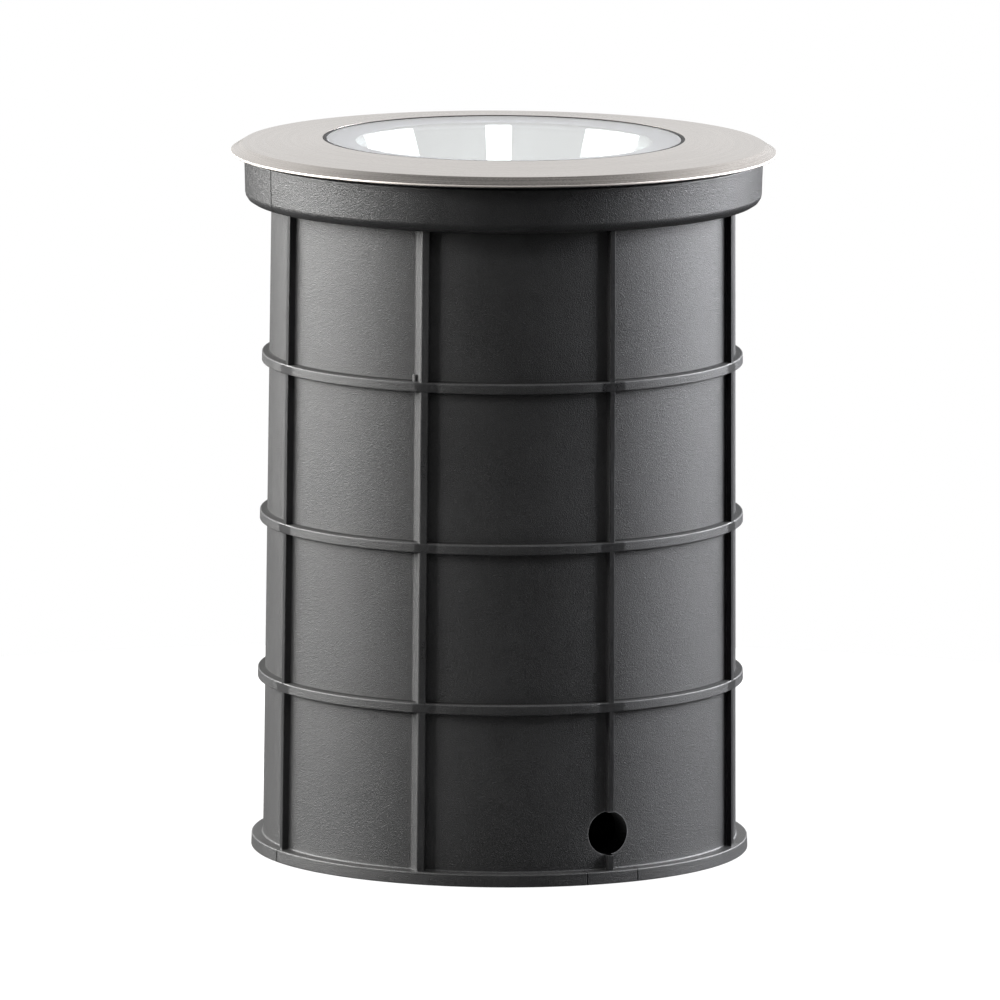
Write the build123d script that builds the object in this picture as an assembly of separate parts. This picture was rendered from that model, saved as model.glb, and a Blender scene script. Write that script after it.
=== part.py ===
from build123d import *
import os
from math import cos, radians, sin, tan

# In ground well light: a glazed uplight that drops into a moulded canister set in the ground.
# Millimetres, +Z up. The origin is the centre of the canister's foot. One of its two cable
# holes is on -Y and the mould parted on the X axis.

# ---------------------------------------------------------------- clearances
seat_gap = 0.3          # between bodies that rest on each other or slide past
thread_gap = 0.05       # radial, between a shank and the thread or bore round it
hole_gap = 0.3          # radial, round a screw in a clearance hole
tip_gap = 1.0           # between a screw's tip and the bottom of its hole

# ---------------------------------------------------------------- canister
canister_height = 332.3
canister_side_gap = 1.5     # round the heads of the cover screws
wall_draft = 0.52       # degrees; the wall draws in towards the collar
wall_thick = 3.2
foot_flange_reach = 5.6     # beyond the wall, at the ground
foot_flange_height = 6.0
foot_flange_draft = 0.8
rib_count = 8
rib_width = 2.6
rib_proud = 3.4
rib_draft = 3.0         # degrees, on the sides of the slanted ribs
hoop_count = 3
hoop_proud = 3.3
hoop_height = 3.4
hoop_slope = 0.9        # rise of a hoop's sloping top, from its face to the wall
collar_reach = 12.4     # beyond the wall, at the collar's lower edge
collar_flare = 0.6
collar_depth = 21.3
collar_wall = 3.6
collar_round = 4.5
ledge_thick = 4.0
cable_hole_r = 10.25
cable_hole_height = 23.4
entry_pad_depth = 9.0   # inwards, from the wall's inside
entry_pad_rim = 4.0     # round the cable hole
gate_mark_r = 1.2
gate_mark_height = 4.3

# ---------------------------------------------------------------- cover
trim_overhang = 6.5     # beyond the collar
trim_lip = 1.0
trim_bevel_width = 5.6
trim_bevel_rise = 3.5
trim_rise = 2.7         # from the bevel to the hole's edge
trim_thick = 3.0
trim_over_canister = 1.6
trim_edge_round = 0.35
glass_foot_r = 92.5     # lower step, which the ring holds down
glass_step = 7.9        # width of the shoulder round the upper step
glass_thick = 12.0
glass_foot_thick = 6.0
glass_recess = 0.3
gasket_wall = 1.8
gasket_lip_gap = 1.6    # width of the black line between glass and ring
gasket_lip_drop = 0.5
gasket_foot_width = 9.0
boss_r = 4.0
boss_side_gap = 0.5     # to the upstand round the gasket
boss_cap = 2.5          # metal left above the blind thread
cover_screw_count = 8
cover_screw_r = 2.45
cover_screw_head_r = 4.25
cover_screw_head = 5.0

# ---------------------------------------------------------------- housing
flange_side_gap = 1.0
flange_thick = 5.7
rim_width = 3.5
dam_width = 2.4         # upstand round the glass gasket
barrel_side_gap = 1.5   # between the reflector's rim and the barrel's inside
barrel_wall = 4.5
land_width = 5.5        # of the seat under the reflector's rim
floor_thick = 8.0
gear_depth = 88.0
fin_count = 24
fin_thick = 2.4
fin_reach = 12.5
fin_top_gap = 14.0
fin_foot_gap = 8.0
lug_r = 5.0
lug_inset = 4.5         # of the lugs' middles, from the barrel's inside
lug_height = 16.0
lug_turn = 30.0         # degrees from +X to the first lug
clip_pad_width = 18.0
clip_pad_depth = 6.0
clip_pad_height = 14.0
clip_pad_drop = 52.0    # from the flange's underside to the pad's top

# ---------------------------------------------------------------- optics
reflector_rim_width = 8.2
reflector_rim_inset = 3.0   # of the rim's edge, from the gasket's foot
reflector_foot_r = 14.0
reflector_depth = 81.0
reflector_thick = 1.0
reflector_facets = 36
reflector_bands = 5
reflector_sink = 0.3    # rim below the gasket's seat
rim_pocket_gap = 0.5
rim_screw_count = 3
rim_screw_inset = 3.1   # from the rim's edge
rim_screw_r = 1.45
rim_screw_head_r = 2.6
rim_screw_head = 1.7
rim_screw_bite = 3.0
holder_r = 25.0
holder_height = 5.0
holder_window_inset = 2.5   # of the window's edge, from the reflector's foot
holder_window_splay = 1.0
holder_entry_reach = 2.0
holder_entry_width = 10.0
led_plate_r = 45.0
led_plate_thick = 4.0
led_board = 28.0
led_board_thick = 1.6
led_dome_r = 9.0
led_dome_rise = 0.8
plate_screw_count = 4
plate_screw_inset = 7.0     # from the spreader's edge
plate_screw_turn = 45.0     # degrees from +X to the first one
plate_screw_r = 1.95
plate_screw_head_r = 3.6
plate_screw_head = 2.6
plate_screw_bite = 5.0
holder_screw_inset = 5.5    # from the holder's edge
holder_screw_r = 1.45
holder_screw_head_r = 2.7
holder_screw_head = 1.8
holder_screw_bite = 2.5

# ---------------------------------------------------------------- gear
driver_length = 100.0
driver_width = 52.0
driver_height = 30.0
driver_offset = 14.0    # towards +Y, to leave room for the terminal block
driver_round = 2.0
ear_length = 8.0
ear_width = 14.0
ear_thick = 3.0
lead_space = 16.0       # between the driver and the terminal block
block_length = 34.0
block_width = 20.0
block_height = 17.0
block_poles = 3
wire_hole_r = 2.2
wire_hole_depth = 6.0
wire_hole_rise = 7.0    # of its middle, from the block's lower face
clamp_hole_r = 2.4
clamp_hole_depth = 4.0
clamp_hole_spread = 13.0    # between the two screws of a pole
gear_screw_r = 1.95
gear_screw_head_r = 3.6
gear_screw_head = 2.6
gear_screw_bite = 5.0
lead_r = 1.0
lead_pitch = 3.0
lead_bend = 4.0
lead_hole_gap = 10.0    # from the driver's end to the middle of the bush
lead_loop = 12.0        # reach of the supply leads past the driver's other end
lead_entry_step = 6.0
earth_lead_slant = 7.0
lead_bush_r = 5.0
lead_bush_flange_r = 7.0
lead_bush_flange = 1.5
earth_screw_x = 36.0
earth_tag_r = 4.0
earth_tag_thick = 0.8
crimp_r = 1.7
crimp_length = 6.0

# ---------------------------------------------------------------- gear cover and gland
seal_thick = 2.0
seal_width = 15.0
gear_cover_thick = 5.0
gear_cover_dish = 3.0
gear_cover_rim = 18.0
cover_bolt_count = 6
cover_bolt_r = 1.95
cover_bolt_head_r = 3.5
cover_bolt_head = 4.0
cover_bolt_bite = 10.0
gland_thread_r = 9.95
gland_flats = 24.0
gland_flange = 6.0
gland_neck_wall = 1.2
gland_neck = 12.0
gland_bore_r = 6.6
gland_seal_r = 7.8
gland_seal_bore_r = 4.5
gland_seal_length = 9.0
gland_mouth_r = 6.2
gland_mouth_rim = 2.0
gland_dome = 3.0
gland_end = 2.6
locknut_flats = 26.0
locknut_thick = 5.0
vent_x = 48.0
vent_r = 5.9
vent_head_r = 9.0
vent_head = 6.0
vent_slots = 6
vent_slot_width = 2.4
vent_slot_depth = 2.0
vent_slot_height = 1.8

# ---------------------------------------------------------------- spring clips
clip_count = 3
clip_width = 14.0
clip_thick = 0.8
clip_gap = 0.35         # from the bow to the canister's narrowest place
clip_rise = 24.0        # from the pad's middle up to the bow
clip_tip_rise = 18.0
clip_tip_in = 10.0
clip_bend = 5.0
clip_screw_r = 1.95
clip_screw_head_r = 3.6
clip_screw_head = 2.4
clip_screw_bite = 5.0

# ---------------------------------------------------------------- levels and radii worked out
collar_z = canister_height - collar_depth
ledge_z = collar_z + ledge_thick
glass_r = glass_foot_r - glass_step
gasket_r = glass_foot_r + gasket_wall
gasket_inner_r = glass_foot_r - gasket_foot_width
dam_r = gasket_r + seat_gap
boss_circle_r = dam_r + dam_width + boss_side_gap + boss_r
ledge_r = boss_circle_r + cover_screw_head_r + canister_side_gap
wall_foot_r = ledge_r + wall_thick + ledge_z * tan(radians(wall_draft))
foot_flange_r = wall_foot_r + foot_flange_reach
collar_r = wall_foot_r - collar_z * tan(radians(wall_draft)) + collar_reach
trim_r = collar_r + collar_flare + trim_overhang
trim_z = canister_height + trim_over_canister
trim_hole_r = glass_r + gasket_lip_gap
trim_bevel_r = trim_r - trim_bevel_width
trim_hole_top = trim_z + trim_lip + trim_bevel_rise + trim_rise
trim_fall = trim_rise / (trim_bevel_r - trim_hole_r)
glass_top = trim_hole_top - glass_recess
glass_z = glass_top - glass_thick
gasket_z = glass_z - gasket_wall
seat_z = gasket_z - seat_gap
flange_z = ledge_z + seat_gap
flange_top = flange_z + flange_thick
rim_z = seat_z - reflector_sink
reflector_z = rim_z - reflector_depth
plate_z = reflector_z - holder_height - led_plate_thick
plate_top = plate_z + led_plate_thick
floor_z = plate_z - floor_thick
barrel_z = floor_z - gear_depth
reflector_rim_r = gasket_inner_r - reflector_rim_inset
reflector_r = reflector_rim_r - reflector_rim_width
land_inner_r = reflector_rim_r - land_width
rim_screw_circle_r = reflector_rim_r - rim_screw_inset
barrel_r = reflector_rim_r + barrel_side_gap
barrel_outer_r = barrel_r + barrel_wall
lug_circle_r = barrel_r - lug_inset
holder_window_r = reflector_foot_r - holder_window_inset
holder_screw_circle_r = holder_r - holder_screw_inset
plate_screw_circle_r = led_plate_r - plate_screw_inset
block_offset = driver_width / 2 - driver_offset + lead_space + block_width / 2
lead_line = -block_offset + (block_width + lead_space) / 2
lead_hole_x = driver_length / 2 + lead_hole_gap
seal_z = barrel_z - seal_thick
gear_cover_z = seal_z - gear_cover_thick
lead_z = floor_z - block_height + wire_hole_rise
crimp_x = earth_screw_x - gear_screw_head_r - hole_gap - crimp_length
pad_top = flange_z - clip_pad_drop
pad_r = barrel_outer_r + clip_pad_depth
clip_bow_r = ledge_r - clip_gap
cover_under = gear_cover_z - gear_cover_dish
cover_inside = seal_z - gear_cover_dish
gland_neck_r = gland_seal_r + gland_neck_wall
neck_z = cover_under - gland_flange - gland_neck
cover_screw_turn = -90 + 180 / cover_screw_count
clip_angles = [90 + 360 / clip_count * k for k in range(clip_count)]


def wall_r(z):
    """Outside radius of the canister's wall at a height."""
    return wall_foot_r - z * tan(radians(wall_draft))


def trim_under(r):
    """Height of the trim ring's underside at a radius."""
    return trim_hole_top - (r - trim_hole_r) * trim_fall - trim_thick


def turned(*points, rounds=None):
    """A disc or ring turned about the upright axis from its half section of (radius, height)."""
    if rounds:
        outline = FilletPolyline(*points, radius=[rounds.get(p, 0) for p in points], close=True)
    else:
        outline = Polyline(*points, close=True)
    return revolve(Plane.XZ * make_face(outline), Axis.Z)


def rod(r, z0, z1, x=0, y=0):
    """An upright round bar between two heights."""
    return Pos(x, y, z0) * Cylinder(r, z1 - z0, align=(Align.CENTER, Align.CENTER, Align.MIN))


def block(length, width, z0, z1, x=0, y=0):
    """A rectangular block between two heights."""
    return Pos(x, y, z0) * Box(length, width, z1 - z0, align=(Align.CENTER, Align.CENTER, Align.MIN))


def hexagon(flats, z0, z1):
    """An upright hexagonal bar, given across its flats."""
    return Pos(0, 0, z0) * extrude(RegularPolygon(flats / 2, 6, major_radius=False), z1 - z0)


def round_copies(piece, radius, count, start=0):
    """Copies of a piece spaced round the upright axis."""
    return [place * piece for place in PolarLocations(radius, count, start)]


def screw(shank_r, head_r, head, under_head, tip):
    """An upright screw: its head starts at one height and its shank ends at the other."""
    up = 1 if tip > under_head else -1
    shank = rod(shank_r, min(under_head, tip), max(under_head, tip))
    top = rod(head_r, min(under_head, under_head - up * head), max(under_head, under_head - up * head))
    far_end = top.edges().filter_by(GeomType.CIRCLE).sort_by(Axis.Z)[0 if up == 1 else -1]
    top = chamfer(far_end, head * 0.2)
    socket = hexagon(shank_r * 1.2, under_head - up * head, under_head - up * head * 0.5) if up == 1 else \
        hexagon(shank_r * 1.2, under_head + head * 0.5, under_head + head)
    return top + shank - socket


def lead(points, bend):
    """An insulated wire that follows straight runs joined by arcs."""
    path = FilletPolyline(*points, radius=bend)
    return sweep(Plane(path @ 0, z_dir=path % 0) * Circle(lead_r), path=path)


# ---------------------------------------------------------------- canister
def canister():
    """Sleeve with its foot flange, hoops, ribs, stepped collar, inner ledge and cable holes."""
    foot_edge = (foot_flange_r - foot_flange_draft, foot_flange_height)
    under_collar = (collar_r, collar_z)
    sleeve = turned(
        (foot_flange_r, 0), foot_edge, (wall_r(foot_flange_height), foot_flange_height),
        (wall_r(collar_z), collar_z), under_collar,
        (collar_r + collar_flare, canister_height),
        (collar_r + collar_flare - collar_wall, canister_height),
        (collar_r - collar_wall, ledge_z), (ledge_r, ledge_z), (wall_foot_r - wall_thick, 0),
        rounds={under_collar: collar_round, foot_edge: 0.5},
    )
    pitch = (collar_z - foot_flange_height) / (hoop_count + 1)
    for k in range(1, hoop_count + 1):
        z = foot_flange_height + k * pitch
        face = wall_r(z) + hoop_proud
        sleeve += turned(
            (face - hoop_proud - wall_thick / 2, z), (face, z), (face, z + hoop_height),
            (face - hoop_proud, z + hoop_height + hoop_slope),
            (face - hoop_proud - wall_thick / 2, z + hoop_height + hoop_slope),
        )
    sleeve += round_copies(straight_rib(), 0, rib_count // 2, -90)
    rib = slanted_rib()
    rear = mirror(rib, Plane.XZ)
    sleeve += [rib, rear, mirror(rib, Plane.YZ), mirror(rear, Plane.YZ)]
    mark_z = foot_flange_height + hoop_count * pitch + hoop_height + hoop_slope
    mark_x = slanted_rib_x(mark_z) + rib_width / 2
    sleeve += rod(gate_mark_r, mark_z - hoop_slope, mark_z + gate_mark_height,
                  -mark_x, -(wall_r(mark_z) ** 2 - mark_x ** 2) ** 0.5)
    pad = entry_pad()
    sleeve += [pad, mirror(pad, Plane.XZ)]
    holes = Pos(0, 0, cable_hole_height) * Rot(90, 0, 0) * Cylinder(cable_hole_r, 2 * foot_flange_r)
    return sleeve - holes


def rib_section():
    """Half section of the band that the ribs fill, from inside the wall to their faces."""
    z0, z1 = foot_flange_height / 2, collar_z + ledge_thick / 4
    return [(wall_r(z0) - wall_thick / 2, z0), (wall_r(z0) + rib_proud, z0),
            (wall_r(z1) + rib_proud, z1), (wall_r(z1) - wall_thick / 2, z1)]


def straight_rib():
    """Rib on the mould's pull or across it."""
    return extrude(Plane.XZ * make_face(Polyline(*rib_section(), close=True)), rib_width / 2, both=True)


def slanted_rib_x(z):
    """Distance of a slanted rib's middle from the YZ plane, at its face."""
    return (wall_r(z) + rib_proud) * sin(radians(360 / rib_count))


def slanted_rib():
    """Rib between the pull and the parting: its sides follow the pull, with draft, so the mould opens."""
    spread = foot_flange_r * tan(radians(rib_draft))
    face_y = (wall_r(0) + rib_proud) * cos(radians(360 / rib_count))
    half = rib_width / 2 + face_y * tan(radians(rib_draft))
    low, high = -2 * spread, canister_height + 2 * spread
    strip = Polyline((slanted_rib_x(low) - half, low), (slanted_rib_x(low) + half, low),
                     (slanted_rib_x(high) + half, high), (slanted_rib_x(high) - half, high), close=True)
    slab = extrude(Plane.XZ * make_face(strip), face_y + rib_width, taper=rib_draft)
    return turned(*rib_section()) & slab


def entry_pad():
    """Thickening inside the wall round a cable hole, drawn down to the foot so the core can leave."""
    outer = wall_foot_r - wall_thick / 2
    depth = wall_thick / 2 + entry_pad_depth
    arch = Pos(0, -outer, cable_hole_height) * Rot(-90, 0, 0) * Cylinder(
        cable_hole_r + entry_pad_rim, depth, align=(Align.CENTER, Align.CENTER, Align.MIN))
    return arch + block(2 * (cable_hole_r + entry_pad_rim), depth, 0, cable_hole_height,
                        0, depth / 2 - outer)


# ---------------------------------------------------------------- cover
def trim_ring():
    """Stainless ring with a shallow cone on top and a bevelled, turned-down rim."""
    bevel_top = trim_z + trim_lip + trim_bevel_rise
    slope = trim_bevel_rise / trim_bevel_width
    under_r = trim_bevel_r - trim_thick / 2
    lip_r = under_r + (trim_under(under_r) - trim_z) / slope
    corners = [
        (lip_r, trim_z), (trim_r, trim_z), (trim_r, trim_z + trim_lip), (trim_bevel_r, bevel_top),
        (trim_hole_r, trim_hole_top), (trim_hole_r, trim_under(trim_hole_r)),
        (under_r, trim_under(under_r)),
    ]
    rounds = {corners[1]: trim_edge_round, corners[2]: trim_edge_round,
              corners[3]: trim_bevel_width / 4, corners[4]: trim_edge_round}
    return turned(*corners, rounds=rounds)


def trim_bosses():
    """Threaded bosses welded under the ring, which stand on the housing's flange."""
    top = trim_under(boss_circle_r + boss_r)
    bore = rod(cover_screw_r + thread_gap, flange_top, top - boss_cap)
    boss = rod(boss_r, flange_top + seat_gap, top) - bore
    return round_copies(boss, boss_circle_r, cover_screw_count, cover_screw_turn)


def glass():
    """Stepped disc of toughened glass."""
    edge = (glass_r, glass_top)
    return turned(
        (0, glass_z), (glass_foot_r, glass_z), (glass_foot_r, glass_z + glass_foot_thick),
        (glass_r, glass_z + glass_foot_thick), edge, (0, glass_top), rounds={edge: 0.6},
    )


def glass_gasket():
    """Silicone channel round the glass's foot, with a lip that fills the gap to the ring."""
    shoulder = glass_z + glass_foot_thick
    inner_r = glass_foot_r - gasket_foot_width
    return turned(
        (inner_r, gasket_z), (gasket_r, gasket_z), (gasket_r, trim_under(gasket_r)),
        (trim_hole_r, trim_under(trim_hole_r)), (trim_hole_r, glass_top - gasket_lip_drop),
        (glass_r, glass_top - gasket_lip_drop), (glass_r, shoulder), (glass_foot_r, shoulder),
        (glass_foot_r, glass_z), (inner_r, glass_z),
    )


# ---------------------------------------------------------------- housing
def housing():
    """Cast body: flange, rim, gasket seat, finned barrel, lamp floor and gear chamber."""
    flange_r = collar_r - collar_wall - flange_side_gap
    dam_top = trim_under(dam_r + dam_width) - seat_gap
    rim_top = trim_under(flange_r) - seat_gap
    pocket_z = rim_z - reflector_thick
    pocket_r = reflector_rim_r + rim_pocket_gap
    body = turned(
        (barrel_outer_r, barrel_z), (barrel_outer_r, flange_z), (flange_r, flange_z),
        (flange_r, rim_top), (flange_r - rim_width, rim_top), (flange_r - rim_width, flange_top),
        (dam_r + dam_width, flange_top), (dam_r + dam_width, dam_top), (dam_r, dam_top),
        (dam_r, seat_z), (pocket_r, seat_z), (pocket_r, pocket_z), (land_inner_r, pocket_z),
        (land_inner_r, flange_top), (barrel_r, flange_z), (barrel_r, plate_z), (0, plate_z),
        (0, floor_z), (barrel_r, floor_z), (barrel_r, barrel_z),
    )
    fin_length = flange_z - fin_top_gap - barrel_z - fin_foot_gap
    fin_root = barrel_outer_r - barrel_wall / 2
    fin = Pos(fin_root, 0, barrel_z + fin_foot_gap) * Box(
        fin_reach + barrel_wall / 2, fin_thick, fin_length, align=(Align.MIN, Align.CENTER, Align.MIN))
    spacing = 360 / fin_count
    for k in range(fin_count):
        angle = k * spacing
        if min(abs((angle - a + 180) % 360 - 180) for a in clip_angles) > spacing / 2:
            body += Rot(0, 0, angle) * fin
    pad_root = barrel_outer_r - barrel_wall / 2
    pad = Pos(pad_root, 0, pad_top - clip_pad_height) * Box(
        pad_r - pad_root, clip_pad_width, clip_pad_height, align=(Align.MIN, Align.CENTER, Align.MIN))
    pad_hole = Pos(pad_r, 0, pad_top - clip_pad_height / 2) * Rot(0, 90, 0) * Cylinder(
        clip_screw_r + thread_gap, 2 * (clip_screw_bite + tip_gap))
    for angle in clip_angles:
        body += Rot(0, 0, angle) * pad
    for angle in clip_angles:
        body -= Rot(0, 0, angle) * pad_hole
    lug = rod(lug_r, barrel_z, barrel_z + lug_height)
    lug_hole = rod(cover_bolt_r + thread_gap, barrel_z - 1, barrel_z + cover_bolt_bite + tip_gap)
    lugs = [p & rod(barrel_outer_r - 1, barrel_z, barrel_z + lug_height)
            for p in round_copies(lug, lug_circle_r, cover_bolt_count, lug_turn)]
    body += lugs
    body -= round_copies(lug_hole, lug_circle_r, cover_bolt_count, lug_turn)
    flange_hole = rod(cover_screw_r + hole_gap, flange_z - 1, flange_top + 1)
    body -= round_copies(flange_hole, boss_circle_r, cover_screw_count, cover_screw_turn)
    rim_hole = rod(rim_screw_r + thread_gap, pocket_z - rim_screw_bite - tip_gap, pocket_z + 1)
    body -= round_copies(rim_hole, rim_screw_circle_r, rim_screw_count, 90)
    plate_hole = rod(plate_screw_r + thread_gap, plate_z - plate_screw_bite - tip_gap, plate_z + 1)
    body -= round_copies(plate_hole, plate_screw_circle_r, plate_screw_count, plate_screw_turn)
    body -= rod(lead_bush_r, floor_z - 1, plate_z + 1, lead_hole_x)
    gear_hole = rod(gear_screw_r + thread_gap, floor_z - 1, floor_z + gear_screw_bite + tip_gap)
    for x, y in gear_screw_places():
        body -= Pos(x, y) * gear_hole
    return body


def cover_screws():
    """Socket screws that pull the cover down, driven from below through the flange."""
    tip = trim_under(boss_circle_r + boss_r) - boss_cap - tip_gap
    piece = screw(cover_screw_r, cover_screw_head_r, cover_screw_head, flange_z, tip)
    return round_copies(piece, boss_circle_r, cover_screw_count, cover_screw_turn)


# ---------------------------------------------------------------- optics
def reflector_levels():
    """Inside corner radius and height of each edge of the reflector's bands, mouth last."""
    reach = reflector_r ** 2 - reflector_foot_r ** 2
    levels = []
    for k in range(reflector_bands + 1):
        share = k / reflector_bands
        r = (reflector_foot_r ** 2 + reach * share) ** 0.5
        levels.append((r, reflector_z + reflector_depth * share))
    return levels


def faceted_cup(swell, low=0.0, high=0.0):
    """Solid between facets: the reflector's inside grown by a thickness and lengthened."""
    levels = reflector_levels()
    levels[0] = (levels[0][0], levels[0][1] - low)
    levels[-1] = (levels[-1][0], levels[-1][1] + high)
    sections = [Pos(0, 0, z) * RegularPolygon(r + swell, reflector_facets) for r, z in levels]
    return loft(sections, ruled=True)


def reflector():
    """Pressed aluminium reflector with upright facets and a rim that lies in the housing."""
    cup = faceted_cup(reflector_thick)
    rim = rod(reflector_rim_r, rim_z - reflector_thick, rim_z)
    mouth = extrude(Pos(0, 0, rim_z - 2 * reflector_thick) * RegularPolygon(reflector_r, reflector_facets),
                    3 * reflector_thick)
    screw_hole = rod(rim_screw_r + thread_gap, rim_z - 2 * reflector_thick, rim_z + 1)
    holes = round_copies(screw_hole, rim_screw_circle_r, rim_screw_count, 90)
    return cup + (rim - mouth) - faceted_cup(0, low=1e-3, high=1e-3) - holes


def reflector_screws():
    """Pan-head screws through the reflector's rim into the housing."""
    piece = screw(rim_screw_r, rim_screw_head_r, rim_screw_head, rim_z,
                  rim_z - reflector_thick - rim_screw_bite)
    return round_copies(piece, rim_screw_circle_r, rim_screw_count, 90)


def led_plate():
    """Aluminium heat spreader, screwed to the lamp floor."""
    plate = turned((0, plate_z), (led_plate_r, plate_z), (led_plate_r, plate_top), (0, plate_top))
    hole = rod(plate_screw_r + thread_gap, plate_z - 1, plate_top + 1)
    plate -= round_copies(hole, plate_screw_circle_r, plate_screw_count, plate_screw_turn)
    tapping = rod(holder_screw_r + thread_gap, plate_top - holder_screw_bite - tip_gap, plate_top + 1)
    return plate - round_copies(tapping, holder_screw_circle_r, 2, 90)


def plate_screws():
    """Screws of the heat spreader."""
    piece = screw(plate_screw_r, plate_screw_head_r, plate_screw_head, plate_top,
                  plate_z - plate_screw_bite)
    return round_copies(piece, plate_screw_circle_r, plate_screw_count, plate_screw_turn)


def led_cob():
    """Light source: a square board with a round domed emitter."""
    board_top = plate_top + led_board_thick
    dome = turned((0, board_top), (led_dome_r, board_top), (led_dome_r * 0.9, board_top + led_dome_rise),
                  (0, board_top + led_dome_rise))
    return block(led_board, led_board, plate_top, board_top) + dome


def led_holder():
    """Moulded ring that presses the board down and takes the two leads."""
    top = plate_top + holder_height
    entry = Pos(0, 0, plate_top) * Box(holder_r + holder_entry_reach, holder_entry_width, holder_height,
                                       align=(Align.MIN, Align.CENTER, Align.MIN))
    body = rod(holder_r, plate_top, top) + entry
    window = Pos(0, 0, plate_top + led_board_thick) * Cone(
        holder_window_r, holder_window_r + holder_window_splay, holder_height - led_board_thick,
        align=(Align.CENTER, Align.CENTER, Align.MIN))
    body -= block(led_board + 2 * hole_gap, led_board + 2 * hole_gap, plate_top,
                  plate_top + led_board_thick)
    body -= window
    head_sink = holder_screw_head + hole_gap
    hole = rod(holder_screw_r + hole_gap, plate_top - 1, top + 1) + rod(
        holder_screw_head_r + hole_gap, top - head_sink, top + 1)
    return body - round_copies(hole, holder_screw_circle_r, 2, 90)


def holder_screws():
    """Two countersunk-depth screws through the holder."""
    under_head = plate_top + holder_height - holder_screw_head - hole_gap
    piece = screw(holder_screw_r, holder_screw_head_r, holder_screw_head, under_head,
                  plate_top - holder_screw_bite)
    return round_copies(piece, holder_screw_circle_r, 2, 90)


# ---------------------------------------------------------------- gear
def gear_screw_places():
    """Where the driver's ears, the terminal block and the earth tag are screwed to the floor."""
    ear_x = (driver_length + ear_length) / 2
    return [(ear_x, driver_offset), (-ear_x, driver_offset), (0, -block_offset),
            (earth_screw_x, lead_line)]


def driver():
    """Potted LED driver with a fixing ear at each end."""
    bottom = floor_z - driver_height
    case = block(driver_length, driver_width, bottom, floor_z, 0, driver_offset)
    case = fillet(case.edges().filter_by(Axis.Z) + case.edges().group_by(Axis.Z)[0], driver_round)
    ears = block(driver_length + 2 * ear_length, ear_width, floor_z - ear_thick, floor_z, 0, driver_offset)
    body = case + ears
    hole = rod(gear_screw_r + hole_gap, floor_z - ear_thick - 1, floor_z + 1)
    for x, y in gear_screw_places()[:2]:
        body -= Pos(x, y) * hole
    return body


def driver_screws():
    """Screws of the driver's ears."""
    piece = screw(gear_screw_r, gear_screw_head_r, gear_screw_head, floor_z - ear_thick,
                  floor_z + gear_screw_bite)
    return [Pos(x, y) * piece for x, y in gear_screw_places()[:2]]


def terminal_block():
    """Moulded strip with a clamping screw well and a wire hole through each pole."""
    bottom = floor_z - block_height
    body = block(block_length, block_width, bottom, floor_z, 0, -block_offset)
    pitch = block_length / block_poles
    for k in range(block_poles):
        x = (k - (block_poles - 1) / 2) * pitch
        body -= Pos(x, -block_offset - block_width / 2, lead_z) * Rot(90, 0, 0) * Cylinder(
            wire_hole_r, 2 * wire_hole_depth)
        for side in (-1, 1):
            body -= rod(clamp_hole_r, bottom - 1, bottom + clamp_hole_depth,
                        x, -block_offset + side * clamp_hole_spread / 2)
    well = rod(gear_screw_head_r + hole_gap, bottom - 1, floor_z - ear_thick)
    hole = rod(gear_screw_r + hole_gap, bottom - 1, floor_z + 1)
    return body - Pos(0, -block_offset) * (well + hole)


def terminal_screw():
    """Screw that holds the terminal block up to the floor."""
    piece = screw(gear_screw_r, gear_screw_head_r, gear_screw_head, floor_z - ear_thick,
                  floor_z + gear_screw_bite)
    return Pos(0, -block_offset) * piece


def led_leads():
    """Two leads from the driver, up through the floor's bush and along to the LED holder."""
    holder_x = holder_r + holder_entry_reach
    top = plate_top + holder_height / 2
    wires = []
    for y in (-lead_pitch / 2, lead_pitch / 2):
        route = [(driver_length / 2, y, lead_z), (lead_hole_x, y, lead_z), (lead_hole_x, y, top),
                 (holder_x, y, top)]
        wires.append(lead(route, lead_bend))
    return wires


def lead_bush():
    """Silicone bush that seals the two leads where they pass the floor."""
    body = rod(lead_bush_r, floor_z, plate_z, lead_hole_x)
    body += rod(lead_bush_flange_r, floor_z - lead_bush_flange, floor_z, lead_hole_x)
    body += rod(lead_bush_flange_r, plate_z, plate_z + lead_bush_flange, lead_hole_x)
    for y in (-lead_pitch / 2, lead_pitch / 2):
        body -= rod(lead_r + thread_gap, floor_z - 5, plate_z + 5, lead_hole_x, y)
    return body


def input_leads():
    """Two leads from the terminal block round to the driver's other end."""
    side = -block_offset + block_width / 2
    pole = block_length / block_poles
    end = -driver_length / 2
    wires = []
    for k, x in enumerate((-pole, 0)):
        lane = lead_line + (k - 0.5) * lead_pitch
        column = end - lead_loop + k * lead_pitch
        entry = driver_offset - (k + 1) * lead_entry_step
        route = [(x, side, lead_z), (x, lane, lead_z), (column, lane, lead_z),
                 (column, entry, lead_z), (end, entry, lead_z)]
        wires.append(lead(route, lead_bend))
    return wires


def earth_lead():
    """Lead from the third pole to the crimp of the earth tag."""
    side = -block_offset + block_width / 2
    x = block_length / block_poles
    top = floor_z - crimp_r
    route = [(x, side, lead_z), (x, lead_line, lead_z), (x + earth_lead_slant, lead_line, top),
             (crimp_x, lead_line, top)]
    return lead(route, lead_bend * 0.6)


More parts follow.
